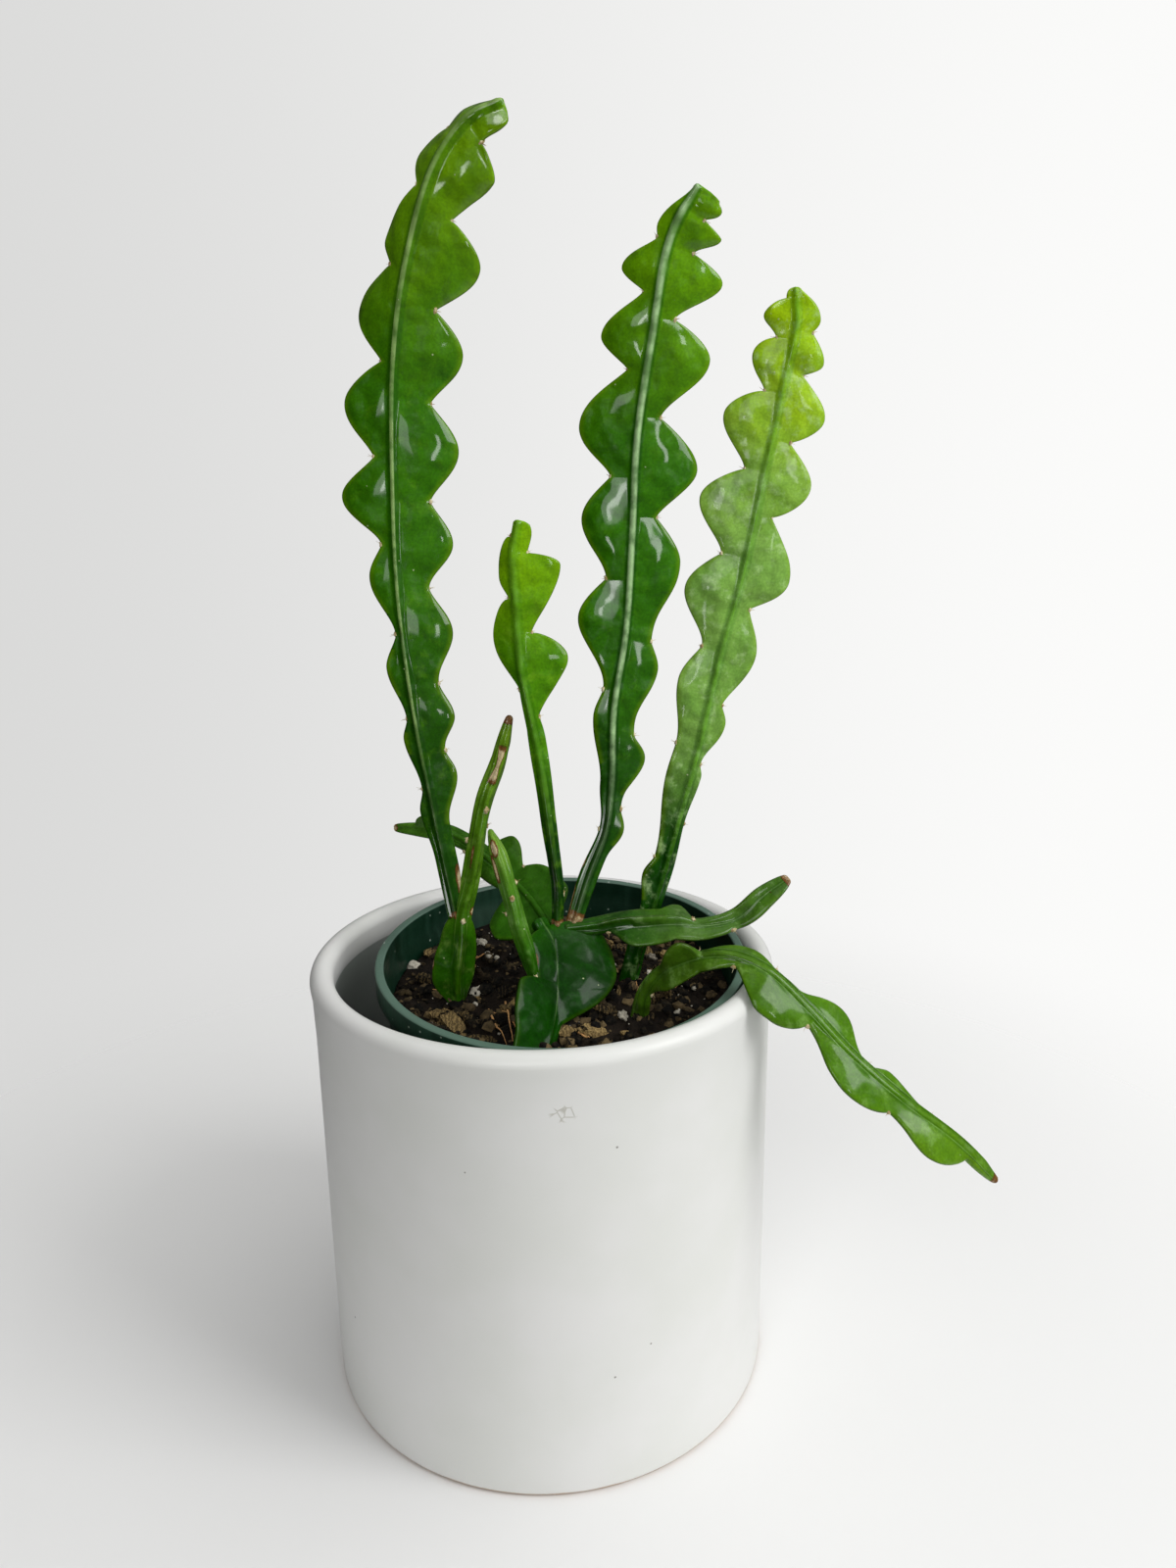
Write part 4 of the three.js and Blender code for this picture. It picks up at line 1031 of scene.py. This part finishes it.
def softened(ring, middle):
    """The ring with its points near the middle drawn towards their neighbours."""
    result = []
    for i, (point, rib, margin) in enumerate(ring):
        before, after = ring[i - 1][0], ring[(i + 1) % len(ring)][0]
        pull = 0.9 * math.exp(-((point - middle).length / SOFT_REACH) ** 2)
        result.append((point.lerp((before + after) / 2, pull), rib, margin))
    return result


def section(stem, spine, s):
    """One closed ring of points round the stem, each with its skin values: rib share and margin share."""
    middle, along, side, face = spine.at(s)
    share = s / spine.length
    from_tip = min(max((spine.length - s) / TIP_TAPER, 0.0), 1.0)
    taper = TIP_SHARE + (1 - TIP_SHARE) * from_tip
    flesh = stem["flesh"]
    wings = [(value_at(wing["angle"], share), edge_reach(stem, wing, s, spine.length), lobe_swell(wing, s))
             for wing in stem["wings"]]
    ring = []

    def polar(angle, radius):
        a = math.radians(angle)
        return middle + side * (radius * math.cos(a)) + face * (radius * math.sin(a))

    for k, (angle, reach, swell) in enumerate(wings):
        next_angle = wings[(k + 1) % len(wings)][0] + (360 if k + 1 == len(wings) else 0)
        last_angle = wings[k - 1][0] - (360 if k == 0 else 0)
        a = math.radians(angle)
        outward = side * math.cos(a) + face * math.sin(a)
        sideways = face * math.cos(a) - side * math.sin(a)
        profile = blade_profile(reach, flesh, taper)
        crest = max(RIB_HEIGHT, flesh + 0.7) * taper
        wave = noise.noise(Vector((s / 17, 5.3 * k, stem["path"][0][0]))) * 0.9

        def placed(out, across, turn_limit):
            turn = math.degrees(math.atan2(abs(across), out))
            if turn > turn_limit:
                a_limit = math.copysign(turn_limit, across)
                point = polar(angle + a_limit, math.hypot(out, across))
            else:
                point = middle + outward * out + sideways * across
            lift = (out / 16) ** 2
            pucker = noise.noise(Vector((s / 7, out / 6, 3.7 * k + stem["path"][0][1]))) * 0.5
            point -= face * (stem.get("cup", 0.0) * lift)
            point += sideways * (wave * lift + pucker * min(out / 8, 1.0) ** 2)
            hump = 4 * (out / reach) * (1 - out / reach) * swell * min(reach / 16, 1.0)
            point += sideways * math.copysign(LOBE_BULGE * hump, math.cos(a))
            margin = min(max(1 - (reach - out) / MARGIN_WIDTH, 0.0), 1.0) if reach > 4 else 0.5 * out / reach
            ring.append((point, rib_share(out), margin))

        before_limit = 0.42 * (angle - last_angle)
        after_limit = 0.42 * (next_angle - angle)

        def flank(half_gap, sign, foot, share):
            foot_turn = min(math.degrees(math.atan2(foot[1], foot[0])), 0.84 * half_gap)
            turn = foot_turn + share * (half_gap - foot_turn)
            radius = (1 - share) * math.hypot(*foot) + share * crest
            lateral = radius * math.cos(math.radians(turn)) if half_gap > 80 else radius * (1 - share)
            ring.append((polar(angle + sign * turn, radius), rib_share(lateral), 0.0))

        flank((angle - last_angle) / 2, -1, profile[0], 0.75)
        flank((angle - last_angle) / 2, -1, profile[0], 0.4)
        for out, half in profile:
            placed(out, -half, before_limit)
        placed(reach, 0.0, 180)
        for out, half in reversed(profile):
            placed(out, half, after_limit)
        flank((next_angle - angle) / 2, 1, profile[0], 0.4)
        flank((next_angle - angle) / 2, 1, profile[0], 0.75)
        ring.append((polar((angle + next_angle) / 2, crest), 1.0, 0.0))
    for _ in range(stem.get("soft", 0)):
        ring = softened(ring, middle)
    return middle, along, ring


def cork_at(point, s, scar_places):
    """How far into a corky scar a point lies, from 0 outside to 1 in the middle."""
    depth = 0.0
    for (mark, _, _, half_length, half_width), centre in scar_places:
        past = s - mark
        across = point - centre
        if half_width > ROUND_SCAR_WIDTH:
            limit = ROUND_SCAR_DEPTH
            sideways = across.length / (half_length + half_width)
        else:
            limit = 1.0
            sideways = math.sqrt(max(across.length_squared - past ** 2, 0.0)) / half_width
        off = math.hypot(past / half_length, sideways)
        depth = max(depth, min(1.6 - 1.3 * off, limit))
    return min(max(depth, 0.0), 1.0)


def make_stem(name, stem, material):
    spine = Spine(stem)
    marks = station_marks(stem, spine)
    rings = [(s, *section(stem, spine, s)) for s in marks]
    # A rounded tip: the last ring again, drawn in and carried on, down to a point
    s, middle, along, ring = rings[-1]
    for shrink, carry in ((0.86, 0.35), (0.55, 0.75), (0.0, 0.95)):
        drawn = [(middle + along * carry + (point - middle) * shrink, rib, margin)
                 for point, rib, margin in ring]
        rings.append((s, middle, along, drawn))
    s, middle, along, ring = rings[0]
    rings.insert(0, (s, middle, along, [(middle.copy(), rib, margin) for _, rib, margin in ring]))

    scar_places = []
    for scar in stem["scars"]:
        centre, _, side, face = spine.at(scar[0])
        a = math.radians(scar[1])
        scar_places.append((scar, centre + (side * math.cos(a) + face * math.sin(a)) * scar[2]))

    around = len(rings[0][3])
    bm = bmesh.new()
    bmesh.ops.create_grid(bm, x_segments=len(rings) - 1, y_segments=around, size=1.0)
    skin = bm.verts.layers.float_vector.new("skin")
    cork = bm.verts.layers.float.new("cork")
    for vert in bm.verts:
        i = round((vert.co.x + 1) / 2 * (len(rings) - 1))
        j = round((vert.co.y + 1) / 2 * around) % around
        s, _, _, ring = rings[i]
        point, rib, margin = ring[j]
        vert.co = point * MM
        vert[skin] = (min(max(s / spine.length, 0.0), 1.0), rib, margin)
        vert[cork] = cork_at(point, s, scar_places)
    bmesh.ops.remove_doubles(bm, verts=bm.verts[:], dist=1e-7)
    bmesh.ops.recalc_face_normals(bm, faces=bm.faces[:])
    finish_piece(name + "_skin", bm, material, replaced=name)
    return spine


def make_areoles(spines, material):
    """Felted buds with a few short bristles in the notches of every stem."""
    rand = random.Random(31)
    bm = bmesh.new()
    tone = bm.verts.layers.float.new("tone")
    for name, stem in STEMS.items():
        spine = spines[name]
        for wing in stem["wings"]:
            for mark in notches(wing):
                if mark > spine.length - 2:
                    continue
                middle, along, side, face = spine.at(mark)
                a = math.radians(value_at(wing["angle"], mark / spine.length))
                outward = side * math.cos(a) + face * math.sin(a)
                reach = edge_reach(stem, wing, mark, spine.length)
                lift = stem.get("cup", 0.0) * (reach / 16) ** 2
                place = (middle + outward * (reach - 0.1) - face * lift) * MM
                frame_turn = Matrix((along, outward.cross(along), outward)).transposed().to_4x4()
                size = 0.75 + 0.35 * rand.random()
                add_lump(bm, tone, place, (size, size * 0.75, size * 0.55), frame_turn, 0.5,
                         10 * rand.random(), rand.random())
                for _ in range(2):
                    lean = 0.9 * along * (rand.random() - 0.2) + face * (rand.random() - 0.5)
                    aim = (outward + lean).normalized()
                    length = (0.9 + 1.1 * rand.random()) * MM
                    points = [place + aim * length * t for t in (0.0, 0.5, 1.0)]
                    add_thread(bm, tone, points, 0.1, 0.9, sides=4)
    bmesh.ops.recalc_face_normals(bm, faces=bm.faces[:])
    finish_piece("areoles", bm, material)


# Light and ground, in metres and watts
FLOOR_RADIUS = 1.2
FLOOR_FADE = (0.1, 0.42)
GLOSS_DIMMING = 0.22
# Each lamp: name, place, what it points at, width and height, power, and whether only gloss shows it
LAMPS = [
    ("window", (0.95, -0.5, 0.9), (0, 0, 0.15), (0.6, 0.8), 10.0, False),
    ("ceiling", (0.15, 0.1, 1.4), (0, 0, 0.1), (0.9, 0.9), 1.6, False),
    ("front_window", (-0.22, -0.9, 0.62), (0, 0, 0.25), (0.5, 0.5), 3.0, False),
    ("upper_pane", (-0.3, -1.0, 0.5), (0, 0, 0.25), (0.09, 0.16), 0.55, True),
    ("lower_pane", (-0.42, -1.0, 0.02), (0, 0, 0.25), (0.09, 0.16), 0.55, True),
    ("right_pane", (0.5, -0.9, 0.4), (0, 0, 0.25), (0.09, 0.16), 0.5, True),
]


def make_world():
    """A pale room, brighter to the right. What the camera sees and what gloss reflects are set apart."""
    world = bpy.data.worlds.new("soft_room")
    bpy.context.scene.world = world
    world.use_nodes = True
    tree = world.node_tree
    aim = node(tree, "ShaderNodeTexCoord").outputs["Generated"]
    parts = node(tree, "ShaderNodeSeparateXYZ", {0: aim}).outputs
    rightward = stretch(tree, parts[0], -1.0, 1.0, 0.12, 1.15)
    upward = stretch(tree, parts[2], -0.3, 1.0, 0.48, 0.9)
    room = maths(tree, "MULTIPLY", rightward, upward)
    shown = stretch(tree, parts[0], -0.55, 0.55, 0.69, 0.97)
    rays = node(tree, "ShaderNodeLightPath").outputs
    dimmed = maths(tree, "MULTIPLY", room, GLOSS_DIMMING)
    strength = node(tree, "ShaderNodeMix", {0: rays["Is Glossy Ray"], 2: room, 3: dimmed},
                    data_type="FLOAT").outputs[0]
    strength = node(tree, "ShaderNodeMix", {0: rays["Is Camera Ray"], 2: strength, 3: shown},
                    data_type="FLOAT").outputs[0]
    background = tree.nodes["Background"]
    background.inputs["Color"].default_value = (1.0, 1.0, 0.99, 1.0)
    tree.links.new(strength, background.inputs["Strength"])


def make_lamp(name, place, aim, size, energy, only_gloss):
    data = bpy.data.lights.new(name, "AREA")
    data.shape = "RECTANGLE"
    data.size, data.size_y = size
    data.energy = energy
    lamp = bpy.data.objects.new(name, data)
    bpy.context.scene.collection.objects.link(lamp)
    way = Vector(aim) - Vector(place)
    lamp.matrix_world = Matrix.Translation(place) @ way.to_track_quat("-Z", "Y").to_matrix().to_4x4()
    lamp.visible_diffuse = not only_gloss


def make_floor():
    material, tree, shader = new_material("pale_ground", Specular_IOR_Level=0.1)
    place = object_place(tree)
    shader.inputs["Base Color"].default_value = (0.79, 0.79, 0.785, 1.0)
    shader.inputs["Roughness"].default_value = 0.9
    fade = stretch(tree, length_of(tree, place), *FLOOR_FADE, 1.0, 0.0)
    tree.links.new(fade, shader.inputs["Alpha"])
    bm = bmesh.new()
    bmesh.ops.create_circle(bm, cap_ends=True, segments=96, radius=FLOOR_RADIUS)
    mesh = bpy.data.meshes.new("ground")
    bm.to_mesh(mesh)
    bm.free()
    mesh.materials.append(material)
    ground = bpy.data.objects.new("ground", mesh)
    bpy.context.scene.collection.objects.link(ground)


bpy.context.scene.view_settings.view_transform = "Standard"
make_world()
make_floor()
for lamp_facts in LAMPS:
    make_lamp(*lamp_facts)

make_cover_pot(make_glaze())
make_grow_pot(make_plastic())
make_soil(make_earth("potting_mix", (6, 5, 4), (36, 28, 20), 420.0, 0.95, 0.0014))
make_crumbs(make_earth("crumbs", (8, 7, 5), (104, 88, 60), 600.0, 0.9, 0.0008))
make_perlite(make_earth("perlite", (84, 76, 62), (206, 200, 184), 900.0, 0.9, 0.0006))
make_bark_chips(make_bark())
make_rootlets(make_earth("straw", (120, 66, 30), (222, 170, 112), 700.0, 0.8, 0.0003))

plant_skin = make_plant_skin()
spines = {}
for stem_name, stem_facts in STEMS.items():
    stem_material = make_stem_material(stem_name + "_skin", stem_facts, plant_skin)
    spines[stem_name] = make_stem(stem_name, stem_facts, stem_material)
make_areoles(spines, make_areole_material())
